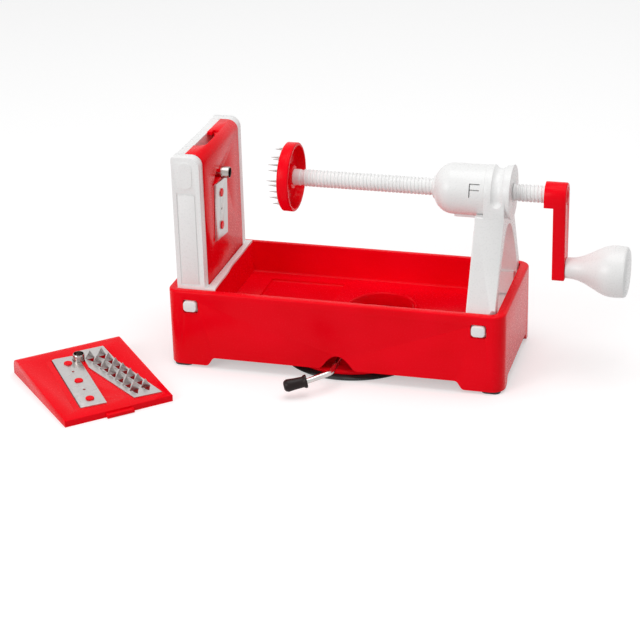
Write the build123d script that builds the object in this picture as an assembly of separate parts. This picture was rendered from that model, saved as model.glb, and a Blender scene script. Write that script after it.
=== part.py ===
"""Hand-cranked vegetable spiralizer: suction base, blade cassettes, feed tower and crank.

Millimetres. +X runs along the feed spindle from the blade to the crank, +Y to the back,
+Z up. The origin is on the table, under the middle of the suction pad.
"""

import os
from math import atan2, cos, radians, sin, sqrt

from build123d import *

os.makedirs("parts", exist_ok=True)

# ---- base moulding ----
base_length = 232.0
base_width = 102.0
base_height = 56.0
base_centre_x = -3.0
corner_radius = 9.0
rim_round = 1.6
side_rim = 4.6
end_rim = 6.0
skirt_wall = 2.2
tray_floor = 33.0
floor_wall = 2.4
floor_round = 2.0
foot_height = 2.0
skirt_lift = 8.0
foot_length = 26.0
foot_depth = 12.0
foot_curve = 7.0
pad_length = 13.0
pad_depth = 11.0
pad_plug_radius = 2.5
recess_left = -70.0
recess_right = -17.0
recess_half_width = 36.0
recess_depth = 2.0
well_x = 19.0
well_radius = 22.4
well_wall = 1.8
well_lip = 2.3
well_bottom = 25.5
arch_top = 17.9
arch_half_width = 15.0
rib_wall = 1.6
rib_depth = 6.0

# ---- suction foot ----
suction_radius = 51.0
suction_thickness = 5.3
shroud_rim_radius = 47.5
shroud_flange_z = 4.6
shroud_flange_wall = 2.0
shroud_cone_radius = 36.0
shroud_top_radius = 19.0
shroud_top_z = 22.9
shroud_wall = 2.0
shroud_boss_radius = 4.2
shroud_boss_circle = 42.2
stem_foot_radius = 8.0
stem_foot_floor = 2.0
stem_width = 16.0
stem_depth = 10.0
stem_top = 18.0
stem_lift = 2.5
lug_depth = 4.0
lug_gap = 1.0

# ---- suction lever ----
lever_axis_z = 13.0
rod_radius = 1.9
rod_rear_y = 14.0
rod_bend_y = -66.0
rod_elbow = (-12.0, -77.5, 11.3)
grip_end = (-27.5, -84.5, 8.6)
cam_radius = 4.2
grip_radius = 3.9

# ---- spindle line ----
axis_z = 124.5
spindle_radius = 5.8
spindle_start = 66.5
spindle_overhang = 24.0
neck_radius = 4.6
collar_radius = 5.5
plain_length = 6.0
core_radius = 2.0
thread_pitch = 2.5

# ---- spiked disc ----
disc_depth = 8.0
disc_radius = 23.4
disc_wall = 2.0
disc_plate = 2.4
hub_radius = 8.4
hub_length = 3.6
outer_pin_count = 12
outer_pin_circle = 19.0
outer_pin_length = 7.0
inner_pin_count = 6
inner_pin_circle = 11.0
inner_pin_length = 10.5
pin_radius = 0.8
pin_root_radius = 2.2
pin_root_length = 3.0
pin_sink = 1.2

# ---- crank ----
crank_radius = 50.5
crank_gap = 21.4
crank_hub_length = 14.4
crank_hub_radius = 8.8
crank_hub_below = 6.4
arm_thick = 8.2
arm_end_width = 15.6
arm_end_below = 9.2
arm_corner = 2.4
arm_dish = 1.4
knob_gap = 0.3
knob_length = 41.8
knob_neck_radius = 6.9
knob_mouth_radius = 17.3
knob_bore_radius = 3.1
knob_pin_radius = 3.0
knob_pin_flange = 5.2
cap_radius = 6.0
cap_depth = 2.6

# ---- blade cassette ----
cassette_width = 76.0
cassette_height = 96.0
cassette_reach = 20.0
cassette_plate = 4.5
cassette_flange = 12.5
cassette_wall = 2.2
cassette_round = 7.0
strip_thick = 1.0
strip_lean = 5.0
tube_radius = 4.0
tube_wall = 0.6
tube_proud = 5.5
tube_depth = 6.0
peg_radius = 2.9
peg_proud = 0.6
lug_width = 19.0
lug_drop = 3.0
lug_thick = 2.4
slot_width = 5.6
blade_width = 25.0
blade_length = 40.0
blade_centre = (-7.2, 49.0)
blade_pegs = (-11.5, 11.5)
spare_blade_width = 17.6
spare_blade_length = 68.0
spare_blade_centre = (-10.8, 52.0)
spare_blade_pegs = (-25.0, 0.0, 25.0)
tooth_pitch = 8.75
tooth_drift = 1.68
tooth_columns = 7
tooth_size = 5.6
tooth_rise = 4.4
tooth_plate_thick = 0.8

# ---- blade holder ----
holder_inset = 7.0
holder_post_length = 19.4
holder_top = 149.5
post_round = 7.0
post_depth = 7.8
sill_lip = 4.9
sill_top = 57.0
sill_depth = 1.5
partition_wall = 2.0
partition_setback = 0.4
holder_wall = 2.4
holder_floor = 1.6
panel_depth = 0.6
panel_groove = 1.3
panel_drop = 25.0
panel_inset = 2.8
mark_width = 9.0
mark_height = 18.0
mark_drop = 12.5
mark_proud = 0.4
rear_bar_inset = 0.5
rear_bar_thick = 6.5
rear_bar_height = 14.0
rear_bar_drop = 1.0

# ---- tower ----
tower_inset = 7.2
tower_width = 19.3
neck_setback = 5.5
barrel_overhang = 3.2
barrel_radius = 17.4
shoulder_z = 110.2
shoulder_step = 1.5
shoulder_round = 1.2
tower_leg = 9.5
foot_ease = 1.7
corner_ease = 2.5
end_ease = 1.2
saddle_setback = 8.5
saddle_radius = 4.6
saddle_depth = 2.1
collar_length = 3.2
collar_step = 0.7

# ---- bell and quick release ----
bell_length = 35.5
bell_radius = 17.0
bell_wall = 2.2
bell_nose_round = 13.0
spigot_length = 3.0
guide_wall = 1.6
nut_length = 18.0
nut_setback = 3.5
nut_half_width = 9.0
nut_head = 9.2
release_travel = 2.5
button_width = 11.0
button_proud = 1.0
release_spring_radius = 3.2
tongue_setback = 12.5
tongue_length = 7.6
tongue_height = 7.6
tongue_top = 2.4
tongue_slit = 0.7

# ---- latch buttons ----
latch_inset = 17.0
latch_z = 45.5
latch_width = 10.0
latch_height = 8.0
latch_shoulder = 12.0
latch_proud = 2.5
latch_travel = 2.5
latch_depth = 6.0
latch_wall = 1.4
latch_spring_radius = 3.0
window_below = 1.0
window_round = 1.8
pocket_wall = 1.6

# ---- fits ----
seat_gap = 0.3
slide_gap = 0.3
bearing_gap = 0.08

# ---- spare cassette on the table ----
spare_centre = (-158.5, -96.0)
spare_turn = 43.2

# Places worked out from the sizes above
left_end = base_centre_x - base_length / 2
right_end = base_centre_x + base_length / 2
half_width = base_width / 2
inner_half = half_width - side_rim
upright_half = inner_half - seat_gap
post_inner = cassette_width / 2 + seat_gap
latch_inner_face = half_width - skirt_wall - latch_wall
latch_places = {"left": left_end + latch_inset, "right": right_end - latch_inset}
holder_left = left_end + holder_inset
holder_post_right = holder_left + holder_post_length
cassette_face_x = holder_left + cassette_reach
sill_right = cassette_face_x + seat_gap + sill_lip
partition_right = sill_right - partition_setback
bay_right = partition_right - partition_wall
tower_right = right_end - tower_inset
tower_left = tower_right - tower_width
neck_left = tower_left + neck_setback
barrel_right = tower_right + barrel_overhang
saddle_x = neck_left + saddle_setback
bell_nose = neck_left - bell_length
nut_right = neck_left - nut_setback
nut_left = nut_right - nut_length
disc_left = left_end + spindle_start + 5.5
spindle_left = disc_left + disc_plate - 1.2
hub_right = disc_left + disc_plate + hub_length
spindle_right = barrel_right + spindle_overhang
crank_hub_left = barrel_right + crank_gap
crank_hub_right = crank_hub_left + crank_hub_length
arm_right = crank_hub_right
arm_left = arm_right - arm_thick
knob_left = arm_right + knob_gap
rib_places = (
    left_end + 0.116 * base_length,
    left_end + 0.185 * base_length,
    right_end - 0.25 * base_length,
    right_end - 0.168 * base_length,
    right_end - 0.09 * base_length,
)


def block(x0, x1, y0, y1, z0, z1):
    """A box between two corners."""
    centre = ((x0 + x1) / 2, (y0 + y1) / 2, (z0 + z1) / 2)
    return Pos(*centre) * Box(abs(x1 - x0), abs(y1 - y0), abs(z1 - z0))


def rod_x(radius, x0, x1, y=0.0, z=axis_z):
    """A cylinder lying along X."""
    return Pos((x0 + x1) / 2, y, z) * Rot(0, 90, 0) * Cylinder(radius, abs(x1 - x0))


def rod_y(radius, y0, y1, x, z):
    """A cylinder lying along Y."""
    return Pos(x, (y0 + y1) / 2, z) * Rot(90, 0, 0) * Cylinder(radius, abs(y1 - y0))


def rod_z(radius, z0, z1, x=0.0, y=0.0):
    """An upright cylinder."""
    return Pos(x, y, (z0 + z1) / 2) * Cylinder(radius, abs(z1 - z0))


def turned_x(points, y=0.0, z=axis_z):
    """A body turned about a line along X from (x, radius) points."""
    plane = Plane(origin=(0, y, z), x_dir=(1, 0, 0), z_dir=(0, -1, 0))
    profile = make_face(Polyline(*points, close=True))
    return revolve(plane * profile, axis=Axis((0, y, z), (1, 0, 0)))


def turned_z(points, x=0.0, y=0.0):
    """A body turned about an upright line from (radius, z) points."""
    plane = Plane(origin=(x, y, 0), x_dir=(1, 0, 0), z_dir=(0, -1, 0))
    profile = make_face(Polyline(*points, close=True))
    return revolve(plane * profile, axis=Axis((x, y, 0), (0, 0, 1)))


def rounded_block(length, width, z0, z1, radius, centre_x=base_centre_x):
    """A box with upright corners rounded in plan."""
    plan = RectangleRounded(length, width, radius)
    return Pos(centre_x, 0, z0) * extrude(plan, z1 - z0)


def side_prism(points, y0, y1):
    """An X-Z outline carried along Y from y0 to y1."""
    plane = Plane(origin=(0, y0, 0), x_dir=(1, 0, 0), z_dir=(0, -1, 0))
    return extrude(plane * make_face(Polyline(*points, close=True)), -(y1 - y0))


def end_prism(outline, x0, x1):
    """A Y-Z outline carried along X from x0 to x1."""
    plane = Plane(origin=(x0, 0, 0), x_dir=(0, 1, 0), z_dir=(1, 0, 0))
    return extrude(plane * outline, x1 - x0)


def skirt_relief(half_span, across, along_x):
    """The raised stretch between two feet, with an S-curve at each end."""
    low = foot_height - 1
    start = half_span + foot_curve / 2
    end = half_span - foot_curve / 2
    middle = half_span
    rise = Bezier((start, foot_height), (middle, foot_height), (middle, skirt_lift), (end, skirt_lift))
    fall = Bezier((-end, skirt_lift), (-middle, skirt_lift), (-middle, foot_height), (-start, foot_height))
    outline = make_face(
        Curve() + [
            Line((start, low), (start, foot_height)), rise, Line((end, skirt_lift), (-end, skirt_lift)),
            fall, Line((-start, foot_height), (-start, low)), Line((-start, low), (start, low)),
        ]
    )
    if along_x:
        plane = Plane(origin=(base_centre_x, across, 0), x_dir=(1, 0, 0), z_dir=(0, -1, 0))
        return extrude(plane * outline, 2 * across)
    plane = Plane(origin=(base_centre_x - across, 0, 0), x_dir=(0, 1, 0), z_dir=(1, 0, 0))
    return extrude(plane * outline, 2 * across)


def shroud_boss_points():
    """Where the four shroud screws stand."""
    reach = shroud_boss_circle / sqrt(2)
    return [(sx * reach, sy * reach) for sx in (-1, 1) for sy in (-1, 1)]


def make_base_tray():
    body = rounded_block(base_length, base_width, foot_height, base_height, corner_radius)
    body = fillet(body.edges().group_by(Axis.Z)[-1], rim_round)
    inner_length = base_length - 2 * end_rim
    inner_width = base_width - 2 * side_rim
    tray = rounded_block(inner_length, inner_width, tray_floor, base_height + 1, corner_radius - side_rim)
    tray = fillet(tray.edges().group_by(Axis.Z)[0], floor_round)
    body -= tray
    body -= rounded_block(
        base_length - 2 * skirt_wall,
        base_width - 2 * skirt_wall,
        foot_height - 1,
        tray_floor - floor_wall,
        corner_radius - skirt_wall,
    )
    # shallow landing for the cut vegetable, let into the tray floor
    recess = block(
        recess_left, recess_right, -recess_half_width, recess_half_width, tray_floor - recess_depth, base_height,
    )
    recess = fillet(recess.edges().group_by(Axis.Z)[0], 1.2)
    body += block(
        recess_left - floor_wall,
        recess_right + floor_wall,
        -recess_half_width - floor_wall,
        recess_half_width + floor_wall,
        tray_floor - recess_depth - floor_wall,
        tray_floor - floor_wall / 2,
    )
    body -= recess
    # low wall that closes off the bay the blade holder stands in
    body += block(
        bay_right, partition_right, -inner_half - 1, inner_half + 1,
        tray_floor - 1, sill_top - sill_depth - seat_gap,
    )
    # round well with a raised, rolled lip and an open collar below
    lip = turned_z(
        [
            (well_radius, well_bottom),
            (well_radius, tray_floor + well_lip - 0.9),
            (well_radius + 0.7, tray_floor + well_lip),
            (well_radius + well_wall - 0.5, tray_floor + well_lip),
            (well_radius + well_wall + 0.9, tray_floor),
            (well_radius + well_wall, tray_floor - 1),
            (well_radius + well_wall, well_bottom),
        ],
        x=well_x,
    )
    body -= rod_z(well_radius, 0, tray_floor + well_lip, x=well_x)
    body += lip
    # feet and raised skirt
    foot_plan = rounded_block(base_length, base_width, foot_height, foot_height + 2.2, corner_radius)
    for sx in (-1, 1):
        for sy in (-1, 1):
            corner_x = base_centre_x + sx * base_length / 2
            corner = block(
                corner_x, corner_x - sx * foot_length, sy * half_width, sy * (half_width - foot_depth),
                foot_height, foot_height + 2.2,
            )
            body += foot_plan & corner
    body -= skirt_relief(base_length / 2 - foot_length - foot_curve / 2, half_width + 1, True)
    body -= skirt_relief(half_width - foot_depth - foot_curve / 2, base_length / 2 + 1, False)
    for x, y in foot_points():
        body -= rod_z(pad_plug_radius, 0, 10, x, y)
    # bell-shaped arch for the suction lever
    arch = make_face(
        Curve() + [
            Spline(
                (-arch_half_width, skirt_lift - 0.5), (-0.70 * arch_half_width, skirt_lift + 1.6),
                (-0.50 * arch_half_width, skirt_lift + 5.4), (0, arch_top),
                (0.50 * arch_half_width, skirt_lift + 5.4), (0.70 * arch_half_width, skirt_lift + 1.6),
                (arch_half_width, skirt_lift - 0.5),
            ),
            Line((arch_half_width, skirt_lift - 0.5), (-arch_half_width, skirt_lift - 0.5)),
        ]
    )
    arch_plane = Plane(origin=(0, -half_width + skirt_wall + 1, 0), x_dir=(1, 0, 0), z_dir=(0, -1, 0))
    body -= extrude(arch_plane * arch, skirt_wall + 2)
    # windows of the four latch buttons
    for x in latch_places.values():
        for side in (-1, 1):
            window = block(
                x - latch_width / 2 - slide_gap, x + latch_width / 2 + slide_gap,
                side * (latch_inner_face - 1), side * (half_width + 1),
                latch_z - latch_height / 2 - slide_gap - window_below, latch_z + latch_height / 2 + slide_gap,
            )
            body -= fillet(window.edges().filter_by(Axis.Y), window_round)
            body -= block(
                x - latch_shoulder / 2 - slide_gap, x + latch_shoulder / 2 + slide_gap,
                side * (inner_half - 1), side * latch_inner_face,
                latch_z - latch_shoulder / 2 - slide_gap, latch_z + latch_shoulder / 2 + slide_gap,
            )
    # ribs and screw bosses under the tray
    rib_top = tray_floor - floor_wall
    inside = half_width - skirt_wall
    for x in rib_places:
        body += block(x - rib_wall / 2, x + rib_wall / 2, -inside, inside, rib_top - rib_depth, rib_top)
    for x, y in shroud_boss_points():
        boss = rod_z(shroud_boss_radius, shroud_flange_z + shroud_flange_wall, rib_top, x, y)
        body += boss - rod_z(1.4, 0, rib_top - 4, x, y)
    return body


def foot_points():
    """Centres of the four corner pads."""
    reach_x = base_length / 2 - 2.5 - pad_length / 2
    reach_y = half_width - 1.5 - pad_depth / 2
    return [(base_centre_x + sx * reach_x, sy * reach_y) for sx in (-1, 1) for sy in (-1, 1)]


def make_foot_pads():
    pads = []
    for x, y in foot_points():
        pad = Pos(x, y, 0) * extrude(RectangleRounded(pad_length, pad_depth, 4.0), foot_height)
        pads.append(pad + rod_z(pad_plug_radius - 0.1, foot_height, foot_height + 2.8, x, y))
    return Compound(pads)


def make_suction_pad():
    pocket = stem_foot_radius + slide_gap
    return turned_z(
        [
            (0, 0), (suction_radius - 1.0, 0), (suction_radius, 0.8), (suction_radius - 1.2, 2.2),
            (suction_radius - 4.0, 3.2), (shroud_cone_radius, shroud_flange_z),
            (shroud_cone_radius - 3, shroud_flange_z), (20, suction_thickness),
            (pocket, suction_thickness), (pocket, stem_foot_floor), (0, stem_foot_floor),
        ]
    )


def make_suction_shroud():
    flange_top = shroud_flange_z + shroud_flange_wall
    inner_top = shroud_top_z - shroud_wall
    shell = turned_z(
        [
            (shroud_rim_radius, shroud_flange_z - 1.2), (shroud_rim_radius + 0.8, flange_top - 1.2),
            (shroud_rim_radius - 0.6, flange_top), (shroud_cone_radius + 1.6, flange_top),
            (shroud_top_radius + 2.0, shroud_top_z), (0, shroud_top_z), (0, inner_top),
            (shroud_top_radius, inner_top), (shroud_cone_radius - 1.2, shroud_flange_z),
            (shroud_rim_radius - 1.8, shroud_flange_z),
        ]
    )
    # two lugs that carry the lever rod either side of the stem
    lug_near = stem_depth / 2 + lug_gap
    lug_low = lever_axis_z - rod_radius - 2.6
    for side in (-1, 1):
        shell += block(
            -rod_radius - 4.0, rod_radius + 4.0, side * lug_near, side * (lug_near + lug_depth),
            lug_low, inner_top + 0.5,
        )
    shell -= rod_y(rod_radius + bearing_gap, -lug_near - lug_depth - 1, lug_near + lug_depth + 1, 0, lever_axis_z)
    # mouth where the rod leaves the cone
    shell -= rod_y(rod_radius + 1.6, -shroud_rim_radius, -shroud_top_radius, 0, lever_axis_z)
    for x, y in shroud_boss_points():
        shell -= rod_z(1.8, 0, shroud_top_z, x, y)
        shell -= rod_z(3.3, 0, shroud_flange_z + 1.0, x, y)
        shell -= rod_z(shroud_boss_radius + seat_gap, flange_top, shroud_top_z + 5, x, y)
    return shell


def make_shroud_screws():
    screws = []
    flange_top = shroud_flange_z + shroud_flange_wall
    for x, y in shroud_boss_points():
        head = rod_z(3.0, shroud_flange_z + 0.1, shroud_flange_z + 1.0, x, y)
        head += rod_z(1.4, shroud_flange_z + 1.0, flange_top + 9, x, y)
        screws.append(head)
    return Compound(screws)


def make_suction_stem():
    swing = stem_lift / 2
    floor_gap = 0.35
    stem = rod_z(stem_foot_radius, stem_foot_floor + 0.3, suction_thickness - 0.5)
    stem += rod_z(6.0, suction_thickness - 0.6, suction_thickness + 0.4)
    stem += block(-stem_width / 2, stem_width / 2, -stem_depth / 2, stem_depth / 2, suction_thickness + 0.3, stem_top)
    window_low = lever_axis_z - swing - cam_radius - floor_gap
    window_high = lever_axis_z - swing + cam_radius + floor_gap
    window_half = cam_radius + swing + floor_gap
    stem -= block(-window_half, window_half, -stem_depth, stem_depth, window_low, window_high)
    return stem


def make_lever_rod():
    rear = (0, rod_rear_y, lever_axis_z)
    corner = (0, rod_bend_y, lever_axis_z)
    tip = tuple(e + 0.45 * (g - e) for e, g in zip(rod_elbow, grip_end))
    path = FilletPolyline(rear, corner, rod_elbow, tip, radius=[9.0, 6.0])
    section = Plane(origin=rear, z_dir=(0, -1, 0)) * Circle(rod_radius)
    return sweep(section, path=path)


def make_lever_cam():
    half = stem_depth / 2 - 0.4
    cam = rod_y(cam_radius, -half, half, 0, lever_axis_z - stem_lift / 2)
    return cam - rod_y(rod_radius, -half - 1, half + 1, 0, lever_axis_z)


def make_lever_grip():
    start = Vector(*rod_elbow)
    end = Vector(*grip_end)
    along = (end - start).normalized()
    start = start + along * 1.5
    length = (end - start).length
    grip = turned_z(
        [
            (0, 0), (grip_radius + 0.5, 0), (grip_radius + 0.7, 0.9), (grip_radius + 0.4, 1.9),
            (grip_radius - 0.2, 2.6), (grip_radius, length * 0.55), (grip_radius + 0.4, length - 2.6),
            (grip_radius - 0.3, length - 0.9), (grip_radius - 1.6, length), (0, length),
        ]
    )
    plane = Plane(origin=start, z_dir=along)
    grip = plane.location * grip
    return grip - make_lever_rod()


def sill_ledge():
    """Thin ledge in front of the cassette, with a gently waved edge."""
    sill_low = sill_top - sill_depth
    start = holder_post_right - 5
    edge = Spline(
        (sill_right + 1.3, -upright_half), (sill_right + 0.5, -0.65 * upright_half),
        (sill_right + 0.2, -0.25 * upright_half), (sill_right - 0.9, 0),
        (sill_right - 0.6, 0.35 * upright_half), (sill_right - 0.9, 0.7 * upright_half),
        (sill_right - 0.6, upright_half),
    )
    outline = make_face(Curve() + [
        edge, Line((sill_right - 0.6, upright_half), (start, upright_half)),
        Line((start, upright_half), (start, -upright_half)),
        Line((start, -upright_half), (sill_right + 1.3, -upright_half)),
    ])
    return Pos(0, 0, sill_low) * extrude(outline, sill_depth)


def make_blade_holder():
    wall = holder_wall
    channel_floor = holder_top - cassette_height
    notch_floor = channel_floor - lug_drop - seat_gap
    foot_right = bay_right - seat_gap
    foot = block(holder_left - 0.7, foot_right, -upright_half, upright_half, tray_floor, sill_top)
    foot = fillet(foot.edges().filter_by(Axis.Z).sort_by(Axis.X)[:2], corner_radius - side_rim)
    foot = chamfer(foot.edges().group_by(Axis.Z)[0], floor_round + 0.4)
    foot -= block(
        holder_left + wall, foot_right - wall, -upright_half + wall, upright_half - wall,
        tray_floor - 1, notch_floor - holder_floor,
    )
    foot += sill_ledge()
    outline = [
        (holder_left, sill_top - 1), (holder_post_right, sill_top - 1),
        (holder_post_right, holder_top), (holder_left, holder_top),
    ]
    body = foot
    for side in (-1, 1):
        post = side_prism(outline, post_inner, post_inner + post_depth)
        tops = post.edges().filter_by(Axis.Y).group_by(Axis.Z)[-1].sort_by(Axis.X)
        post = fillet(tops[-1], post_round)
        post = fillet(post.edges().filter_by(Axis.Y).group_by(Axis.Z)[-1].sort_by(Axis.X)[0], 1.5)
        # rear stop that takes the push of the vegetable
        post += block(
            holder_left, cassette_face_x - cassette_flange - seat_gap, post_inner - 5.0, post_inner + 1,
            sill_top - 1, holder_top - rear_bar_drop,
        )
        # grooved frame round a raised panel, and a raised oval finger mark above it
        face = post_inner + post_depth
        panel_left, panel_right = holder_left + panel_inset, holder_post_right - panel_inset
        panel_low, panel_high = sill_top + 1.5, holder_top - panel_drop
        frame = block(panel_left, panel_right, face - panel_depth, face + 1, panel_low, panel_high)
        frame -= block(
            panel_left + panel_groove, panel_right - panel_groove, face - 2, face + 2,
            panel_low + panel_groove, panel_high - panel_groove,
        )
        post -= frame
        oval = SlotCenterToCenter(mark_height - mark_width, mark_width, rotation=90)
        oval_plane = Plane(
            origin=((holder_left + holder_post_right) / 2, face + mark_proud, holder_top - mark_drop),
            x_dir=(1, 0, 0), z_dir=(0, -1, 0),
        )
        post += extrude(oval_plane * oval, mark_proud + 0.4)
        body += post if side > 0 else mirror(post, about=Plane.XZ)
    rear_bar = holder_left + rear_bar_inset
    body += block(
        rear_bar, rear_bar + rear_bar_thick, -post_inner - 1, post_inner + 1,
        holder_top - rear_bar_drop - rear_bar_height, holder_top - rear_bar_drop,
    )
    # channel for the cassette's lower edge and a notch for its lug
    channel_left = cassette_face_x - cassette_plate - seat_gap
    body -= block(
        channel_left, cassette_face_x + seat_gap, -post_inner, post_inner, channel_floor, sill_top + 1,
    )
    body -= block(
        channel_left, cassette_face_x - 0.9, -lug_width / 2 - seat_gap, lug_width / 2 + seat_gap,
        notch_floor, sill_top + 1,
    )
    return with_latch_pockets(body, latch_places["left"])


def with_latch_pockets(body, x):
    """Adds the two spring pockets of the latch buttons to an upright's foot."""
    half = latch_shoulder / 2 + slide_gap
    pocket_floor = pocket_floor_y()
    well_floor = pocket_floor - latch_travel - 0.5
    for side in (-1, 1):
        body += block(
            x - half - pocket_wall, x + half + pocket_wall,
            side * upright_half, side * (well_floor - pocket_wall),
            latch_z - half - pocket_wall, latch_z + half + pocket_wall,
        )
        body -= block(
            x - half, x + half, side * (upright_half + 1), side * pocket_floor,
            latch_z - half, latch_z + half,
        )
        ring = rod_y(latch_spring_radius + slide_gap, side * pocket_floor, side * well_floor, x, latch_z)
        post = rod_y(latch_spring_radius - 1.3, side * pocket_floor, side * well_floor, x, latch_z)
        body -= ring - post
    return body


def pocket_floor_y():
    """Depth of a latch pocket's floor from the centre plane."""
    shoulder_back = latch_inner_face - 0.2 - latch_depth
    return shoulder_back - latch_travel - 0.3


def make_latch_button(x, side):
    front = latch_inner_face - 0.2
    cap = block(
        x - latch_width / 2, x + latch_width / 2, side * (front - 1), side * (half_width + latch_proud),
        latch_z - latch_height / 2, latch_z + latch_height / 2,
    )
    cap = fillet(cap.edges().filter_by(Axis.Y), 1.8)
    outer = cap.faces().sort_by(Axis.Y)[-1 if side > 0 else 0]
    cap = fillet(outer.edges(), 0.8)
    shoulder = block(
        x - latch_shoulder / 2, x + latch_shoulder / 2, side * front, side * (front - latch_depth),
        latch_z - latch_shoulder / 2, latch_z + latch_shoulder / 2,
    )
    return cap + shoulder


def make_latch_spring(x, side):
    back = latch_inner_face - 0.2 - latch_depth
    end = pocket_floor_y() - 0.3
    sleeve = rod_y(latch_spring_radius, side * back, side * end, x, latch_z)
    return sleeve - rod_y(latch_spring_radius - 0.9, side * (back + 1), side * (end - 1), x, latch_z)


def tower_outline(inset=0.0):
    """Half the tower seen along the spindle: splayed leg, then a straight neck."""
    foot = upright_half - inset
    top = barrel_radius - inset
    return [(-foot, tray_floor), (-foot, base_height), (-top, shoulder_z), (-top, axis_z)]


def make_tower():
    left = tower_outline()
    right = [(-y, z) for y, z in reversed(left)]
    legs = end_prism(make_face(Polyline(*left, *right, close=True)), tower_left, tower_right)
    # the neck above the shoulder is narrower than the legs
    shoulder_top = shoulder_z + shoulder_step
    legs -= block(tower_left - 1, neck_left, -half_width, half_width, shoulder_top, axis_z + barrel_radius)
    corners = [e for e in legs.edges().filter_by(Axis.X) if abs(e.center().Z - shoulder_top) < 0.01]
    legs = fillet(corners, shoulder_round)
    body = legs
    body += rod_x(barrel_radius, neck_left, barrel_right)
    body += rod_x(barrel_radius + collar_step, barrel_right - 1.6, barrel_right)
    body += rod_x(bell_radius, neck_left, neck_left + collar_length)
    # arch between the legs
    span = upright_half - tower_leg
    crown = shoulder_z - tower_leg + 1.0
    rise = base_height - 4.0
    arch = make_face(
        Curve() + [
            Line((-span, tray_floor - 1), (-span, rise)),
            Spline((-span, rise), (-span * 0.66, (rise + crown) / 2 + 4), (0, crown),
                   (span * 0.66, (rise + crown) / 2 + 4), (span, rise)),
            Line((span, rise), (span, tray_floor - 1)),
            Line((span, tray_floor - 1), (-span, tray_floor - 1)),
        ]
    )
    body -= end_prism(arch, tower_left - 1, barrel_right + 1)
    # cross bar between the feet, its ends eased to clear the round of the tray floor
    body += block(tower_left, tower_right, -upright_half, upright_half, tray_floor, tray_floor + 3.0)
    for side in (-1, 1):
        ease = block(
            tower_left - 1, tower_right + 1, side * (upright_half - foot_ease), side * (upright_half + foot_ease),
            tray_floor - foot_ease, tray_floor + foot_ease,
        )
        body -= ease.rotate(Axis((0, side * upright_half, tray_floor), (1, 0, 0)), 45)
        corner = block(
            tower_right - corner_ease, tower_right + corner_ease,
            side * (upright_half - corner_ease), side * (upright_half + corner_ease), tray_floor - 1, base_height + 2,
        )
        body -= corner.rotate(Axis((tower_right, side * upright_half, 0), (0, 0, 1)), 45)
    ease = block(
        tower_right - end_ease, tower_right + end_ease, -half_width, half_width,
        tray_floor - end_ease, tray_floor + end_ease,
    )
    body -= ease.rotate(Axis((tower_right, 0, tray_floor), (0, 1, 0)), 45)
    # cradle for the bell and a slot for the release button
    body -= rod_x(bell_radius + seat_gap, tower_left - 1, neck_left)
    body -= block(
        tower_left - 1, nut_right + seat_gap, -button_width / 2 - seat_gap, button_width / 2 + seat_gap,
        crown - 1, axis_z,
    )
    body -= with_saddle()
    body -= rod_x(spindle_radius + seat_gap, tower_left - 1, barrel_right + 1)
    # spigot that the bell snaps over
    spigot = rod_x(bell_radius - bell_wall - 0.15, neck_left - spigot_length, neck_left + 0.5)
    body += spigot - rod_x(spindle_radius + seat_gap, neck_left - spigot_length - 1, neck_left + 1)
    body = soften(body, tower_left)
    return with_latch_pockets(body, latch_places["right"])


def soften(body, x):
    """Small round along the tall outer edges of the legs."""
    tall = [e for e in body.edges() if e.length > 20 and abs(e.center().X - x) < 0.01 and e.center().Z > base_height]
    outer = [e for e in tall if abs(e.center().Y) > barrel_radius + 2]
    try_edges = [e for e in outer if e.geom_type == GeomType.LINE]
    return fillet(try_edges, 1.0) if try_edges else body


def with_saddle():
    """The hollow channel that runs over the top of the barrel."""
    ring_radius = barrel_radius + saddle_radius - saddle_depth
    ring = Pos(saddle_x, 0, axis_z) * Rot(0, 90, 0) * Torus(ring_radius, saddle_radius)
    upper = ring & block(saddle_x - 20, saddle_x + 20, -60, 60, axis_z - 2, axis_z + 60)
    ends = [
        Pos(saddle_x, side * ring_radius, axis_z - 2) * Sphere(saddle_radius) for side in (-1, 1)
    ]
    return upper + ends[0] + ends[1]


def make_bell_cover():
    shell = rod_x(bell_radius, bell_nose, neck_left)
    nose_edge = shell.edges().group_by(Axis.X)[0]
    shell = fillet(nose_edge, bell_nose_round)
    inner = rod_x(bell_radius - bell_wall, bell_nose + bell_wall, neck_left + 1)
    inner = fillet(inner.edges().group_by(Axis.X)[0], bell_nose_round - bell_wall)
    shell -= inner
    shell -= rod_x(spindle_radius + 2.2, bell_nose - 1, bell_nose + 6)
    # opening for the release button
    shell -= block(
        nut_left - slide_gap, nut_right + slide_gap, -button_width / 2 - slide_gap, button_width / 2 + slide_gap,
        axis_z - bell_radius - 2, axis_z,
    )
    guide_right = nut_left - slide_gap
    guide = rod_x(bell_radius - bell_wall + 0.3, guide_right - guide_wall, guide_right)
    shell += guide - rod_x(spindle_radius + seat_gap, guide_right - 5, guide_right + 1)
    # snap tongue: a U-shaped slit with a slot down its middle
    tongue_x = neck_left - tongue_setback
    tongue_right = tongue_x + tongue_length
    front = -bell_radius - 1
    for x0, x1, top in (
        (tongue_x, tongue_right, tongue_top),
        (tongue_x, tongue_right, tongue_top - tongue_height / 2),
    ):
        shell -= block(x0, x1, front, front + bell_wall + 3, axis_z + top - tongue_slit, axis_z + top)
    shell -= block(
        tongue_x, tongue_x + tongue_slit, front, front + bell_wall + 3,
        axis_z + tongue_top - tongue_height, axis_z + tongue_top,
    )
    return shell


def make_nose_bush():
    bore = spindle_radius + seat_gap
    return turned_x(
        [
            (bell_nose - 0.6, bore), (bell_nose - 0.6, bore + 1.3), (bell_nose + 0.2, spindle_radius + 2.2),
            (bell_nose + 5.0, spindle_radius + 2.2), (bell_nose + 5.0, bore),
        ]
    )


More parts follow.
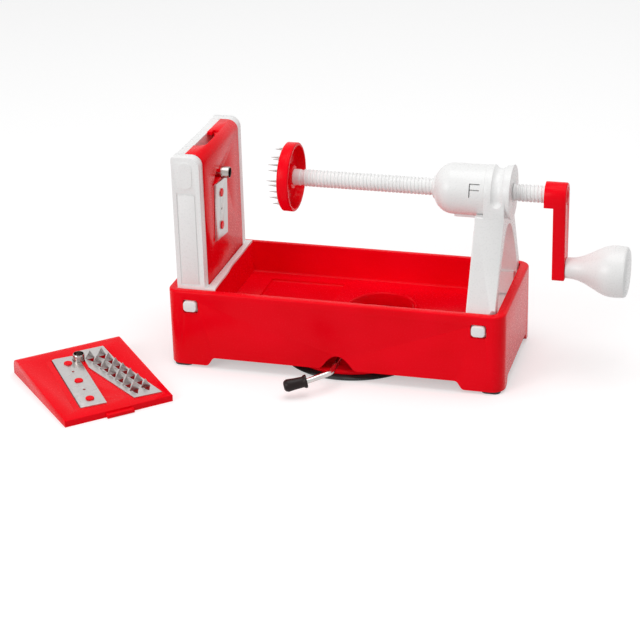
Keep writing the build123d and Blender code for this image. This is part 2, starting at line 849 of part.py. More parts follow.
def make_release_nut():
    low = axis_z - bell_radius - button_proud
    body = block(nut_left, nut_right, -nut_half_width, nut_half_width, axis_z - 10.5, axis_z + nut_head)
    body = fillet(body.edges().filter_by(Axis.X), 3.0)
    body += block(nut_left, nut_right, -button_width / 2, button_width / 2, low, axis_z - 9)
    pad = body.faces().sort_by(Axis.Z)[0]
    body = fillet(pad.edges(), 0.9)
    # long hole: the thread sits in its upper half, the lower half gives room to lift off
    reach = release_travel + seat_gap
    bore = spindle_radius + seat_gap
    hole = rod_x(bore, nut_left - 1, nut_right + 1)
    hole += rod_x(bore, nut_left - 1, nut_right + 1, z=axis_z - reach)
    hole += block(nut_left - 1, nut_right + 1, -bore, bore, axis_z - reach, axis_z)
    body -= hole
    seat = rod_z(release_spring_radius + 0.4, axis_z + nut_head - 1.2, axis_z + nut_head + 1, (nut_left + nut_right) / 2)
    return body - seat


def make_release_spring():
    x = (nut_left + nut_right) / 2
    top = axis_z + sqrt((bell_radius - bell_wall) ** 2 - release_spring_radius ** 2) - 0.1
    outer = rod_z(release_spring_radius, axis_z + nut_head - 1.2, top, x)
    return outer - rod_z(release_spring_radius - 0.8, axis_z, top + 5, x)


def make_spindle():
    thread_left = hub_right + plain_length
    return turned_x(
        [
            (spindle_left, core_radius + 0.1), (spindle_left, neck_radius), (hub_right, neck_radius),
            (hub_right, collar_radius), (thread_left, collar_radius), (thread_left, spindle_radius),
            (spindle_right - 1, spindle_radius), (spindle_right, spindle_radius - 1),
            (spindle_right, core_radius + 0.1),
        ]
    )


def make_spindle_core():
    return rod_x(core_radius, disc_left + 0.6, crank_hub_right - cap_depth - 1.0)


def make_spiked_disc():
    right = disc_left + disc_depth
    cup = turned_x(
        [
            (disc_left, core_radius + 0.1), (disc_left, disc_radius - 1.2), (disc_left + 1.0, disc_radius),
            (right - 0.6, disc_radius), (right, disc_radius - 0.7), (right, disc_radius - disc_wall),
            (disc_left + disc_plate, disc_radius - disc_wall - 0.6), (disc_left + disc_plate, hub_radius),
            (hub_right, hub_radius - 0.6), (hub_right, neck_radius),
            (spindle_left, neck_radius), (spindle_left, core_radius + 0.1),
        ]
    )
    for x, y, z in pin_feet(inner_pin_count, inner_pin_circle, 30):
        cup += turned_x(
            [(x + 0.5, 0), (x + 0.5, pin_root_radius), (x, pin_root_radius),
             (x - pin_root_length, pin_radius + 0.2), (x - pin_root_length, 0)], y, z,
        )
    for x, y, z in all_pin_feet():
        cup -= rod_x(pin_radius, x - 20, x + pin_sink, y, z)
    return cup


def pin_feet(count, circle, start):
    """Places of one ring of pins on the disc's face."""
    steps = [radians(start + 360 * k / count) for k in range(count)]
    return [(disc_left, circle * cos(a), axis_z + circle * sin(a)) for a in steps]


def all_pin_feet():
    """Both rings of pins."""
    return pin_feet(outer_pin_count, outer_pin_circle, 0) + pin_feet(inner_pin_count, inner_pin_circle, 30)


def make_disc_pins():
    pins = []
    rings = ((outer_pin_count, outer_pin_circle, 0, outer_pin_length),
             (inner_pin_count, inner_pin_circle, 30, inner_pin_length))
    for count, circle, start, length in rings:
        for x, y, z in pin_feet(count, circle, start):
            straight = pin_root_length if length > outer_pin_length else 0.8
            pins.append(turned_x(
                [(x + pin_sink, 0), (x + pin_sink, pin_radius), (x - straight, pin_radius),
                 (x - length, 0.12), (x - length, 0)], y, z,
            ))
    return Compound(pins)


def make_crank_arm():
    pin_z = axis_z - crank_radius
    plane = Plane(origin=(crank_hub_left, 0, 0), x_dir=(0, 1, 0), z_dir=(1, 0, 0))
    radius = crank_hub_radius
    hub_low = axis_z - crank_hub_below
    hub_outline = make_face(Curve() + [
        Line((-radius, hub_low), (-radius, axis_z)),
        ThreePointArc((-radius, axis_z), (0, axis_z + radius), (radius, axis_z)),
        Line((radius, axis_z), (radius, hub_low)),
        Line((radius, hub_low), (-radius, hub_low)),
    ])
    body = extrude(plane * hub_outline, crank_hub_length)
    half_end = arm_end_width / 2
    foot = pin_z - arm_end_below
    bar_outline = make_face(Polyline(
        (-radius, axis_z), (radius, axis_z), (half_end, foot), (-half_end, foot), close=True,
    ))
    bar = extrude(Pos(arm_left - crank_hub_left, 0, 0) * (plane * bar_outline), arm_thick)
    bar = fillet(bar.edges().filter_by(Axis.X).group_by(Axis.Z)[0], arm_corner)
    body += bar
    body = chamfer(body.faces().sort_by(Axis.X)[-1].outer_wire().edges(), 0.6)
    # shallow dish along the back of the arm
    dish = block(
        arm_left - 1, arm_left + arm_dish, -radius * 0.52, radius * 0.52,
        pin_z - 2.0, axis_z - radius - 3.0,
    )
    dish = fillet(dish.edges().filter_by(Axis.X), 2.6)
    body -= dish
    body -= rod_x(spindle_radius, crank_hub_left - 1, spindle_right)
    body -= rod_x(core_radius + 0.1, spindle_right - 1, crank_hub_right - cap_depth)
    body -= rod_x(cap_radius, crank_hub_right - cap_depth, crank_hub_right + 1)
    body -= rod_x(knob_pin_radius, arm_left + arm_dish + 1.5, arm_right + 1, z=pin_z)
    return body


def make_crank_cap():
    return turned_x(
        [
            (crank_hub_right - cap_depth, 0), (crank_hub_right - cap_depth, cap_radius - 0.05),
            (crank_hub_right - 0.6, cap_radius - 0.05), (crank_hub_right + 0.3, cap_radius - 1.4),
            (crank_hub_right + 0.7, 0),
        ]
    )


def make_knob_pin():
    pin_z = axis_z - crank_radius
    tip = knob_left + knob_length - 11.0
    return turned_x(
        [
            (arm_left + arm_dish + 1.6, 0), (arm_left + arm_dish + 1.6, knob_pin_radius), (tip, knob_pin_radius),
            (tip, knob_pin_flange), (tip + 1.6, knob_pin_flange), (tip + 1.6, 0),
        ],
        z=pin_z,
    )


def knob_points():
    """Bell-shaped side of the knob, from the neck to its mouth."""
    neck, mouth = knob_neck_radius, knob_mouth_radius
    grow = mouth - neck
    end = knob_length - 3.0
    stations = (
        (0.0, 0.0), (0.15, 0.05), (0.3, 0.22), (0.45, 0.5), (0.6, 0.8), (0.72, 0.95), (0.85, 1.0), (1.0, 0.97),
    )
    return [(knob_left + end * t, neck + grow * g) for t, g in stations]


def make_knob():
    pin_z = axis_z - crank_radius
    side = Spline(*knob_points())
    right = knob_left + knob_length - 3.0
    tip = knob_left + knob_length - 11.0
    bore = knob_bore_radius
    recess_back = tip - 0.4
    outline = Curve() + [
        side,
        Line((right, knob_points()[-1][1]), (right, knob_mouth_radius - 2.2)),
        Line((right, knob_mouth_radius - 2.2), (recess_back, knob_pin_flange + 2.4)),
        Line((recess_back, knob_pin_flange + 2.4), (recess_back, bore)),
        Line((recess_back, bore), (knob_left, bore)),
        Line((knob_left, bore), (knob_left, knob_neck_radius)),
    ]
    plane = Plane(origin=(0, 0, pin_z), x_dir=(1, 0, 0), z_dir=(0, -1, 0))
    return revolve(plane * make_face(outline), axis=Axis((0, 0, pin_z), (1, 0, 0)))


def make_knob_cap():
    pin_z = axis_z - crank_radius
    right = knob_left + knob_length
    rim = right - 3.0
    mouth = knob_mouth_radius
    return turned_x(
        [
            (rim, 0), (rim, mouth - 0.4), (rim + 0.8, mouth - 0.7), (rim + 1.6, mouth - 1.4),
            (rim + 2.2, mouth - 2.5), (rim + 2.6, mouth - 4.2), (right - 0.1, mouth * 0.45), (right, 0),
        ],
        z=pin_z,
    )


def cassette_shell(centre, width, length, pegs, slot_bottom):
    """Red cassette lying in its own frame: u across, v down from the top edge, w out of the face."""
    half = cassette_width / 2
    plate = block(-half, half, 0, cassette_height, -cassette_plate, 0)
    plate = fillet(plate.edges().filter_by(Axis.Z).group_by(Axis.Y)[-1], 2.0)
    side_outline = Polyline(
        (0, 0), (cassette_height, 0), (cassette_height, -cassette_plate), (3.0, -cassette_flange),
        (0, -cassette_flange), close=True,
    )
    side_plane = Plane(origin=(-half, 0, 0), x_dir=(0, 1, 0), z_dir=(1, 0, 0))
    cheek = extrude(side_plane * make_face(side_outline), cassette_wall)
    body = plate + cheek + mirror(cheek, about=Plane.YZ)
    top = block(-half, half, 0, cassette_wall, -cassette_flange, 0)
    body += top
    front_top = body.edges().filter_by(Axis.X).sort_by(lambda e: e.center().Y - e.center().Z)[0]
    body = fillet(front_top, cassette_round)
    # the corner behind the big round is filled so that it keeps its wall
    core = block(-half + 1, half - 1, 0.0, cassette_round + 1.0, -cassette_round - 1.0, 0.0)
    core = fillet(core.edges().filter_by(Axis.X).sort_by(lambda e: e.center().Y - e.center().Z)[0], cassette_round)
    body += core & block(-half, half, 0, cassette_height, -cassette_flange, 0)
    # finger notch in the top flange, with a hooked end
    notch_deep = 7.6
    notch = block(-20.0, 9.0, -1, cassette_wall + 2.5, -cassette_flange - 1, -cassette_flange + notch_deep)
    notch = fillet(notch.edges().filter_by(Axis.Y).group_by(Axis.Z)[-1], 5.5)
    notch += block(8.0, 13.5, -1, cassette_wall + 2.5, -cassette_flange + 3.2, -cassette_flange + notch_deep - 0.4)
    body -= notch
    # way through for the coring tube and slot under the cutting edge
    body -= rod_z(tube_radius, -cassette_flange - 1, 1, 0, core_v())
    body -= slot_shape(centre, width, length, slot_bottom)
    # lug at the middle of the lower edge
    body += block(
        -lug_width / 2, lug_width / 2, cassette_height - 1, cassette_height + lug_drop,
        -cassette_plate + 0.6, -cassette_plate + 0.6 + lug_thick,
    )
    for along in pegs:
        u, v = strip_point(centre, 0, along)
        body += rod_z(peg_radius - 0.5, -1, strip_thick, u, v)
        head = rod_z(peg_radius, strip_thick, strip_thick + peg_proud, u, v)
        body += fillet(head.edges().group_by(Axis.Z)[-1], 0.4)
    return body


def core_v():
    """How far the coring tube lies below the cassette's top edge."""
    return holder_top - axis_z


def strip_point(centre, across, along):
    """A point of a blade strip, which leans a little from upright."""
    lean = radians(strip_lean)
    u = centre[0] + across * cos(lean) - along * sin(lean)
    v = centre[1] + across * sin(lean) + along * cos(lean)
    return u, v


def slot_shape(centre, width, length, slot_bottom):
    """Long slot along the strip's left edge, joined to a pocket beside the tube."""
    edge = -width / 2
    corners = [
        strip_point(centre, edge - slot_width + 1.0, -length / 2),
        strip_point(centre, edge + 1.0, -length / 2),
        strip_point(centre, edge + 1.0, slot_bottom),
        strip_point(centre, edge - slot_width + 1.0, slot_bottom),
    ]
    outline = make_face(Polyline(*corners, close=True))
    if corners[0][1] > core_v():
        outline += make_face(Polyline(
            corners[0], corners[1], (-tube_radius + 1.2, core_v() + 2.4), (-tube_radius - 0.6, core_v() - 4.0),
            (-11.0, core_v() - 6.0), close=True,
        ))
    floor = Pos(0, 0, -cassette_flange - 1)
    return floor * extrude(outline, cassette_flange + 3)


def blade_strip(centre, width, length, pegs, holes):
    """Steel strip with its long left side ground to an edge."""
    corners = [
        strip_point(centre, sx * width / 2, sy * length / 2)
        for sx, sy in ((-1, -1), (1, -1), (1, 1), (-1, 1))
    ]
    strip = extrude(make_face(Polyline(*corners, close=True)), strip_thick)
    lean = Rot(0, 0, strip_lean)
    edge_mid = strip_point(centre, -width / 2, 0)
    wedge = Pos(edge_mid[0], edge_mid[1], strip_thick) * lean * Rot(0, -14, 0) * Box(4.5, length + 4, 0.9)
    strip -= wedge
    strip -= rod_z(tube_radius + 0.4, -1, strip_thick + 1, 0, core_v())
    for along in pegs:
        u, v = strip_point(centre, 0, along)
        strip -= rod_z(peg_radius - 0.5, -1, 3, u, v)
    for along in holes:
        u, v = strip_point(centre, 0, along)
        strip -= rod_z(0.9, -1, 3, u, v)
    return strip


def coring_tube():
    """Thin steel tube with a sharpened mouth."""
    wall = tube_radius - tube_wall
    return turned_z(
        [
            (wall, -tube_depth), (tube_radius, -tube_depth), (tube_radius, tube_proud - 0.8),
            (tube_radius - tube_wall * 0.7, tube_proud), (wall, tube_proud),
        ],
        x=0, y=core_v(),
    )


def tooth_outline():
    """Plan of the spare cassette's toothed plate."""
    return [(5.2, 13.8), (22.1, 14.3), (22.4, 34.5), (33.0, 89.6), (13.6, 88.6), (2.0, 38.4)]


def tooth_places(column):
    """Feet of one row of standing teeth."""
    u, v = ((7.6, 26.8), (16.1, 26.4))[column]
    return [(u + tooth_drift * k, v + tooth_pitch * k) for k in range(tooth_columns)]


def tooth_seat():
    """A slot through the shell under each row of teeth."""
    slots = Part()
    half = tooth_size / 2 + 0.9
    for column in range(2):
        first, last = tooth_places(column)[0], tooth_places(column)[-1]
        outline = make_face(Polyline(
            (first[0] - half, first[1] - 1.0), (first[0] + half, first[1] - 1.0),
            (last[0] + half, last[1] + tooth_rise), (last[0] - half, last[1] + tooth_rise), close=True,
        ))
        slots += Pos(0, 0, -cassette_flange) * extrude(outline, 2 * cassette_flange)
    return slots


def make_tooth_plate():
    """Sheet whose triangular teeth are cut on two sides and bent upright."""
    plate = extrude(make_face(Polyline(*tooth_outline(), close=True)), tooth_plate_thick)
    plate -= rod_z(tube_radius + 0.4, -1, 2, 0, core_v())
    half = tooth_size / 2
    for column in range(2):
        for u, v in tooth_places(column):
            gap = make_face(Polyline((u - half, v), (u + half, v), (u, v + tooth_rise), close=True))
            plate -= Pos(0, 0, -1) * extrude(gap, 3)
            upright = Plane(origin=(u, v, 0.1), x_dir=(1, 0, 0), z_dir=(0, -1, 0))
            tooth = make_face(Polyline((-half, 0), (half, 0), (0, tooth_rise), close=True))
            plate += extrude(upright * tooth, 0.6)
    return plate


def in_holder(piece):
    """Stands a cassette piece up in the blade holder."""
    plane = Plane(origin=(cassette_face_x, 0, holder_top), x_dir=(0, 1, 0), z_dir=(1, 0, 0))
    return plane.location * mirror(piece, about=Plane.XZ)


def on_table(piece):
    """Lays a cassette piece on the table, face up, resting on the edges of its cheeks."""
    tilt = atan2(cassette_flange - cassette_plate, cassette_height - 3.0)
    turn = radians(spare_turn)
    across = Vector(cos(turn), sin(turn), 0)
    uphill = Vector(-sin(turn), cos(turn), 0)
    out = Vector(0, 0, cos(tilt)) - uphill * sin(tilt)
    top_edge = Vector(*spare_centre, 0) + uphill * (cassette_height / 2 * cos(tilt))
    top_edge += Vector(0, 0, cassette_flange * cos(tilt) + 3.0 * sin(tilt))
    plane = Plane(origin=top_edge, x_dir=across, z_dir=out)
    return plane.location * mirror(piece, about=Plane.XZ)


pieces = {
    "base_tray": make_base_tray(),
    "foot_pads": make_foot_pads(),
    "suction_pad": make_suction_pad(),
    "suction_shroud": make_suction_shroud(),
    "shroud_screws": make_shroud_screws(),
    "suction_stem": make_suction_stem(),
    "lever_rod": make_lever_rod(),
    "lever_cam": make_lever_cam(),
    "lever_grip": make_lever_grip(),
    "blade_holder": make_blade_holder(),
    "tower": make_tower(),
    "bell_cover": make_bell_cover(),
    "nose_bush": make_nose_bush(),
    "release_nut": make_release_nut(),
    "release_spring": make_release_spring(),
    "spindle": make_spindle(),
    "spindle_core": make_spindle_core(),
    "spiked_disc": make_spiked_disc(),
    "disc_pins": make_disc_pins(),
    "crank_arm": make_crank_arm(),
    "crank_cap": make_crank_cap(),
    "knob_pin": make_knob_pin(),
    "crank_knob": make_knob(),
    "knob_cap": make_knob_cap(),
}

blade_slot_end = blade_length / 2 - 1.0
spare_slot_end = spare_blade_length / 2 - 1.0
pieces["cassette_shell"] = in_holder(
    cassette_shell(blade_centre, blade_width, blade_length, blade_pegs, blade_slot_end)
)
pieces["cassette_blade"] = in_holder(
    blade_strip(blade_centre, blade_width, blade_length, blade_pegs, (0.0,))
)
pieces["coring_tube"] = in_holder(coring_tube())
spare_shell = cassette_shell(
    spare_blade_centre, spare_blade_width, spare_blade_length, spare_blade_pegs, spare_slot_end
)
pieces["spare_shell"] = on_table(spare_shell - tooth_seat())
pieces["spare_blade"] = on_table(
    blade_strip(spare_blade_centre, spare_blade_width, spare_blade_length, spare_blade_pegs, (-13.0, 12.5))
)
pieces["spare_tooth_plate"] = on_table(make_tooth_plate())
pieces["spare_coring_tube"] = on_table(coring_tube())
for place, x in latch_places.items():
    for face, side in (("front", -1), ("back", 1)):
        pieces[f"latch_button_{face}_{place}"] = make_latch_button(x, side)
        pieces[f"latch_spring_{face}_{place}"] = make_latch_spring(x, side)

for name, piece in pieces.items():
    export_step(piece, f"parts/{name}.step")
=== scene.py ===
from math import atan2, cos, pi, radians, sin

import bmesh
import bpy
from mathutils import Matrix, Vector


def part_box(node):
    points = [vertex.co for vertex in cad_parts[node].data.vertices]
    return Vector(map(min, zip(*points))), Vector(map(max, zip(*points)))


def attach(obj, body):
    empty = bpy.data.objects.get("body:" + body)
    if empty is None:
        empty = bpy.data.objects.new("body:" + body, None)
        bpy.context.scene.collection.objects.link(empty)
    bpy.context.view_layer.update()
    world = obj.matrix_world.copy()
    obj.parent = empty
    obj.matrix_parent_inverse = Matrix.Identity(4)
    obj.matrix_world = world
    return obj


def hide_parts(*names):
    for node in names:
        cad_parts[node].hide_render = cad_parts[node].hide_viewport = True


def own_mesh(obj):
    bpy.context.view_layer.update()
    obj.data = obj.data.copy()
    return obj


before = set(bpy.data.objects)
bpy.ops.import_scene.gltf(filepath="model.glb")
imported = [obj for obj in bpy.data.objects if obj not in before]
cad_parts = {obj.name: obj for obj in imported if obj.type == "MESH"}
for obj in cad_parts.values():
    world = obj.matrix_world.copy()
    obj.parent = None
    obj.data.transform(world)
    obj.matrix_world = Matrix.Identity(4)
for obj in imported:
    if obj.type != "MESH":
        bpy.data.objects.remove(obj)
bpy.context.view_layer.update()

MM = 0.001


# ---------------------------------------------------------------------------
# Base moulding: a deep open box injected in glossy red plastic, with the tray
# floor, the round well and the four feet in one piece. The mould leaves every
# edge slightly rounded and the walls very faintly uneven.

def node_tree(material):
    """Clears a new material and returns its nodes, its links and its one shader."""
    material.use_nodes = True
    nodes, links = material.node_tree.nodes, material.node_tree.links
    nodes.clear()
    shader = nodes.new("ShaderNodeBsdfPrincipled")
    surface = nodes.new("ShaderNodeOutputMaterial")
    links.new(shader.outputs["BSDF"], surface.inputs["Surface"])
    return nodes, links, shader


def noise(nodes, links, scale, detail=2.0, stretch=(1, 1, 1)):
    """A noise pattern in the piece's own place, in metres, drawn out along an axis if asked."""
    place = nodes.new("ShaderNodeTexCoord")
    mapping = nodes.new("ShaderNodeMapping")
    mapping.inputs["Scale"].default_value = stretch
    pattern = nodes.new("ShaderNodeTexNoise")
    pattern.inputs["Scale"].default_value = scale
    pattern.inputs["Detail"].default_value = detail
    links.new(place.outputs["Object"], mapping.inputs["Vector"])
    links.new(mapping.outputs["Vector"], pattern.inputs["Vector"])
    return pattern.outputs["Fac"]


def spread(nodes, links, source, low, high, start=0.3, end=0.7):
    """Turns a pattern into a value between low and high."""
    ramp = nodes.new("ShaderNodeMapRange")
    for name, value in (("From Min", start), ("From Max", end), ("To Min", low), ("To Max", high)):
        ramp.inputs[name].default_value = value
    links.new(source, ramp.inputs["Value"])
    return ramp.outputs["Result"]


def tint(nodes, links, source, dark, light):
    """Colour that drifts between two near shades with a pattern."""
    blend = nodes.new("ShaderNodeMix")
    blend.data_type = "RGBA"
    blend.inputs["A"].default_value = (*dark, 1)
    blend.inputs["B"].default_value = (*light, 1)
    links.new(source, blend.inputs["Factor"])
    return blend.outputs["Result"]


def relief(nodes, links, shader, source, height, strength):
    """Fine surface relief of a given height in metres."""
    bump = nodes.new("ShaderNodeBump")
    bump.inputs["Distance"].default_value = height
    bump.inputs["Strength"].default_value = strength
    links.new(source, bump.inputs["Height"])
    links.new(bump.outputs["Normal"], shader.inputs["Normal"])


def moulded_plastic(name, dark, light, polish, wave, mirror):
    """Injection-moulded plastic: near-even colour, a soft gloss and a slow waviness."""
    material = bpy.data.materials.new(name)
    nodes, links, shader = node_tree(material)
    slow = noise(nodes, links, 28.0, 3.0)
    fine = noise(nodes, links, 900.0, 2.0)
    links.new(tint(nodes, links, spread(nodes, links, slow, 0, 1), dark, light), shader.inputs["Base Color"])
    links.new(spread(nodes, links, fine, polish - 0.03, polish + 0.05), shader.inputs["Roughness"])
    relief(nodes, links, shader, slow, wave, 0.35)
    shader.inputs["IOR"].default_value = 1.5
    shader.inputs["Specular IOR Level"].default_value = mirror
    return material


red_plastic = moulded_plastic("red_plastic", (0.88, 0.0004, 0.007), (0.95, 0.0008, 0.011), 0.24, 0.00025, 0.07)


def skin_of(node, edge_round, steps=2, sharp=32):
    """A merged copy of one solid's surface, with its sharp edges broken as a mould leaves them."""
    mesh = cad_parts[node].data.copy()
    piece = bpy.data.objects.new(node + "_skin", mesh)
    bpy.context.scene.collection.objects.link(piece)
    shape = bmesh.new()
    shape.from_mesh(mesh)
    bmesh.ops.remove_doubles(shape, verts=shape.verts, dist=0.000004)
    bmesh.ops.dissolve_limit(
        shape, angle_limit=radians(1.0), verts=shape.verts, edges=shape.edges, delimit={"NORMAL"},
    )
    shape.to_mesh(mesh)
    shape.free()
    mesh.materials.clear()
    if edge_round:
        bevel = piece.modifiers.new("broken edges", "BEVEL")
        bevel.width = edge_round * MM
        bevel.segments = steps
        bevel.limit_method = "ANGLE"
        bevel.angle_limit = radians(sharp)
        bevel.use_clamp_overlap = True
        bevel.harden_normals = False
    return piece


def finish_piece(piece, material, body, slot, *nodes):
    """Bakes a piece's modifiers into one plain mesh, shades it, and hangs it on its body."""
    seen = piece.evaluated_get(bpy.context.evaluated_depsgraph_get())
    mesh = bpy.data.meshes.new_from_object(seen)
    piece.modifiers.clear()
    piece.data = mesh
    mesh.materials.clear()
    mesh.materials.append(material)
    for face in mesh.polygons:
        face.material_index = 0
    mesh.shade_smooth()
    mesh.set_sharp_from_angle(angle=radians(28))
    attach(piece, body)
    if nodes:
        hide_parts(*nodes)
    return piece


finish_piece(skin_of("base_tray", 0.5), red_plastic, "base", "red_plastic", "base_tray")


# ---------------------------------------------------------------------------
# Corner pads, suction pad and its cone. The pads are soft black rubber, pressed
# into the feet; the big round pad is held by a red cone on four screws.

def rubber(name, shade, polish):
    """Black rubber with a dusty, finely pitted surface."""
    material = bpy.data.materials.new(name)
    nodes, links, shader = node_tree(material)
    cloud = noise(nodes, links, 60.0, 4.0)
    pits = noise(nodes, links, 1600.0, 2.0)
    links.new(tint(nodes, links, cloud, (shade * 0.7,) * 3, (shade * 1.5,) * 3), shader.inputs["Base Color"])
    links.new(spread(nodes, links, cloud, polish, polish + 0.15), shader.inputs["Roughness"])
    relief(nodes, links, shader, pits, 0.00005, 0.4)
    shader.inputs["Specular IOR Level"].default_value = 0.45
    return material


black_rubber = rubber("black_rubber", 0.012, 0.34)
finish_piece(skin_of("foot_pads", 0.4), black_rubber, "base", "black_rubber", "foot_pads")
finish_piece(skin_of("suction_pad", 0.25), black_rubber, "base", "black_rubber", "suction_pad")
finish_piece(skin_of("suction_shroud", 0.35), red_plastic, "base", "red_plastic", "suction_shroud")


def new_tree(name, sizes):
    """A geometry tree with one named input for each size, and its output joined up."""
    tree = bpy.data.node_groups.new(name, "GeometryNodeTree")
    tree.interface.new_socket("Geometry", in_out="OUTPUT", socket_type="NodeSocketGeometry")
    for label, kind in sizes:
        tree.interface.new_socket(label, in_out="INPUT", socket_type=kind)
    return tree, tree.nodes.new("NodeGroupInput"), tree.nodes.new("NodeGroupOutput")


def wired(tree, kind, inputs=None, **settings):
    """Adds a node, sets its options, and joins or sets its inputs by name or number."""
    node = tree.nodes.new(kind)
    for key, value in settings.items():
        setattr(node, key, value)
    for key, value in (inputs or {}).items():
        socket = node.inputs[key]
        if isinstance(value, bpy.types.NodeSocket):
            tree.links.new(value, socket)
        else:
            socket.default_value = value
    return node


def grown(name, tree, sizes):
    """An object whose mesh a geometry tree makes from named sizes."""
    piece = bpy.data.objects.new(name, bpy.data.meshes.new(name))
    bpy.context.scene.collection.objects.link(piece)
    modifier = piece.modifiers.new("made from sizes", "NODES")
    modifier.node_group = tree
    for item in tree.interface.items_tree:
        if item.in_out == "INPUT" and item.name in sizes:
            modifier[item.identifier] = sizes[item.name]
    return piece


def maths(tree, operation, a, b=0.0):
    """One arithmetic step of a tree."""
    return wired(tree, "ShaderNodeMath", {0: a, 1: b}, operation=operation).outputs[0]


def painted_end(tree, geometry, material, result):
    """Ends a tree: its copies become real mesh and get their material."""
    real_mesh = wired(tree, "GeometryNodeRealizeInstances", {0: geometry})
    painted = wired(tree, "GeometryNodeSetMaterial", {"Geometry": real_mesh.outputs[0], "Material": material})
    tree.links.new(painted.outputs[0], result.inputs[0])
    return tree


def baked(piece):
    """Turns what a tree makes into the piece's own plain mesh."""
    seen = piece.evaluated_get(bpy.context.evaluated_depsgraph_get())
    piece.data = bpy.data.meshes.new_from_object(seen)
    piece.modifiers.clear()
    return piece


def metal(name, dark, light, polish, grain_scale, grain, grain_depth, turn=0.0):
    """Metal whose colour, polish and relief follow a grain drawn out along one direction."""
    material = bpy.data.materials.new(name)
    nodes, links, shader = node_tree(material)
    scratch = noise(nodes, links, grain_scale, 3.0, grain)
    if turn:
        for node in nodes:
            if node.bl_idname == "ShaderNodeMapping":
                node.inputs["Rotation"].default_value = (0, 0, turn)
    links.new(tint(nodes, links, scratch, dark, light), shader.inputs["Base Color"])
    links.new(spread(nodes, links, scratch, polish - 0.05, polish + 0.08), shader.inputs["Roughness"])
    relief(nodes, links, shader, scratch, grain_depth, 0.3)
    shader.inputs["Metallic"].default_value = 1.0
    return material


bright_zinc = metal("bright_zinc", (0.56, 0.56, 0.55), (0.70, 0.70, 0.69), 0.26, 300.0, (1, 1, 1), 0.00002)


def screw_tree(material):
    """Pan-head screws with a cross recess, one at each corner of a square, heads down."""
    real = "NodeSocketFloat"
    labels = [("Reach", real), ("Foot", real), ("Head Radius", real), ("Head Height", real),
              ("Shank Radius", real), ("Shank Length", real), ("Recess", real)]
    tree, given, result = new_tree("cross-head screws", labels)
    size = given.outputs
    head = wired(tree, "GeometryNodeMeshCone", {
        "Vertices": 24, "Radius Top": size["Head Radius"],
        "Radius Bottom": maths(tree, "MULTIPLY", size["Head Radius"], 0.8),
        "Depth": size["Head Height"],
    })
    crosses = []
    for long_axis in ("X", "Y"):
        arm = {"X": size["Recess"], "Y": size["Recess"], "Z": size["Head Height"]}
        arm[long_axis] = maths(tree, "MULTIPLY", size["Recess"], 4.5)
        box_size = wired(tree, "ShaderNodeCombineXYZ", arm)
        crosses.append(wired(tree, "GeometryNodeMeshCube", {"Size": box_size.outputs[0]}).outputs[0])
    cut = wired(
        tree, "GeometryNodeMeshBoolean", {"Mesh 1": head.outputs["Mesh"]}, operation="DIFFERENCE", solver="EXACT",
    )
    for cross in crosses:
        tree.links.new(cross, cut.inputs["Mesh 2"])
    shank = wired(tree, "GeometryNodeMeshCone", {
        "Vertices": 20, "Radius Bottom": size["Shank Radius"],
        "Radius Top": maths(tree, "MULTIPLY", size["Shank Radius"], 0.7),
        "Depth": size["Shank Length"],
    })
    lift = wired(tree, "ShaderNodeCombineXYZ", {"Z": size["Head Height"]})
    raised = wired(tree, "GeometryNodeTransform", {
        "Geometry": shank.outputs["Mesh"], "Translation": lift.outputs[0],
    })
    whole = tree.nodes.new("GeometryNodeJoinGeometry")
    tree.links.new(cut.outputs["Mesh"], whole.inputs[0])
    tree.links.new(raised.outputs[0], whole.inputs[0])
    span = maths(tree, "MULTIPLY", size["Reach"], 2.0)
    corners = wired(tree, "GeometryNodeMeshGrid", {
        "Size X": span, "Size Y": span, "Vertices X": 2, "Vertices Y": 2,
    })
    foot = wired(tree, "ShaderNodeCombineXYZ", {"Z": size["Foot"]})
    stands = wired(tree, "GeometryNodeTransform", {
        "Geometry": corners.outputs["Mesh"], "Translation": foot.outputs[0],
    })
    placed = wired(tree, "GeometryNodeInstanceOnPoints", {
        "Points": stands.outputs[0], "Instance": whole.outputs[0],
    })
    return painted_end(tree, placed.outputs[0], material, result)


screw_low, screw_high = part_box("shroud_screws")
shroud_screws = baked(grown("shroud_screws_driven", screw_tree(bright_zinc), {
    "Reach": screw_high.x - 3.0 * MM, "Foot": screw_low.z, "Head Radius": 3.0 * MM, "Head Height": 0.9 * MM,
    "Shank Radius": 1.35 * MM, "Shank Length": screw_high.z - screw_low.z - 0.9 * MM, "Recess": 0.55 * MM,
}))
finish_piece(shroud_screws, bright_zinc, "base", "plated_steel", "shroud_screws")


# ---------------------------------------------------------------------------
# Stem, lever rod, cam and grip. The plated rod turns in the cone and its cam
# lifts the white stem; a black grip is pushed over the rod's bent end.

white_plastic = moulded_plastic("white_plastic", (0.84, 0.84, 0.835), (0.88, 0.88, 0.875), 0.28, 0.0002, 0.45)
finish_piece(skin_of("suction_stem", 0.3), white_plastic, "stem", "white_plastic", "suction_stem")


plated_steel = metal("plated_steel", (0.50, 0.49, 0.48), (0.66, 0.65, 0.63), 0.16, 220.0, (1, 1, 1), 0.00003)
grip_plastic = moulded_plastic("grip_plastic", (0.011, 0.005, 0.005), (0.022, 0.010, 0.010), 0.36, 0.0006, 0.22)
finish_piece(skin_of("lever_rod", 0.2), plated_steel, "lever", "plated_steel", "lever_rod")
finish_piece(skin_of("lever_cam", 0.2), plated_steel, "lever", "plated_steel", "lever_cam")
finish_piece(skin_of("lever_grip", 0.25), grip_plastic, "lever", "black_plastic", "lever_grip")


# ---------------------------------------------------------------------------
# Blade holder: a white moulding that stands in the left end of the tray, with
# two posts, a sunk panel and an oval finger mark on each, and a sill between.

finish_piece(skin_of("blade_holder", 0.45), white_plastic, "base", "white_plastic", "blade_holder")


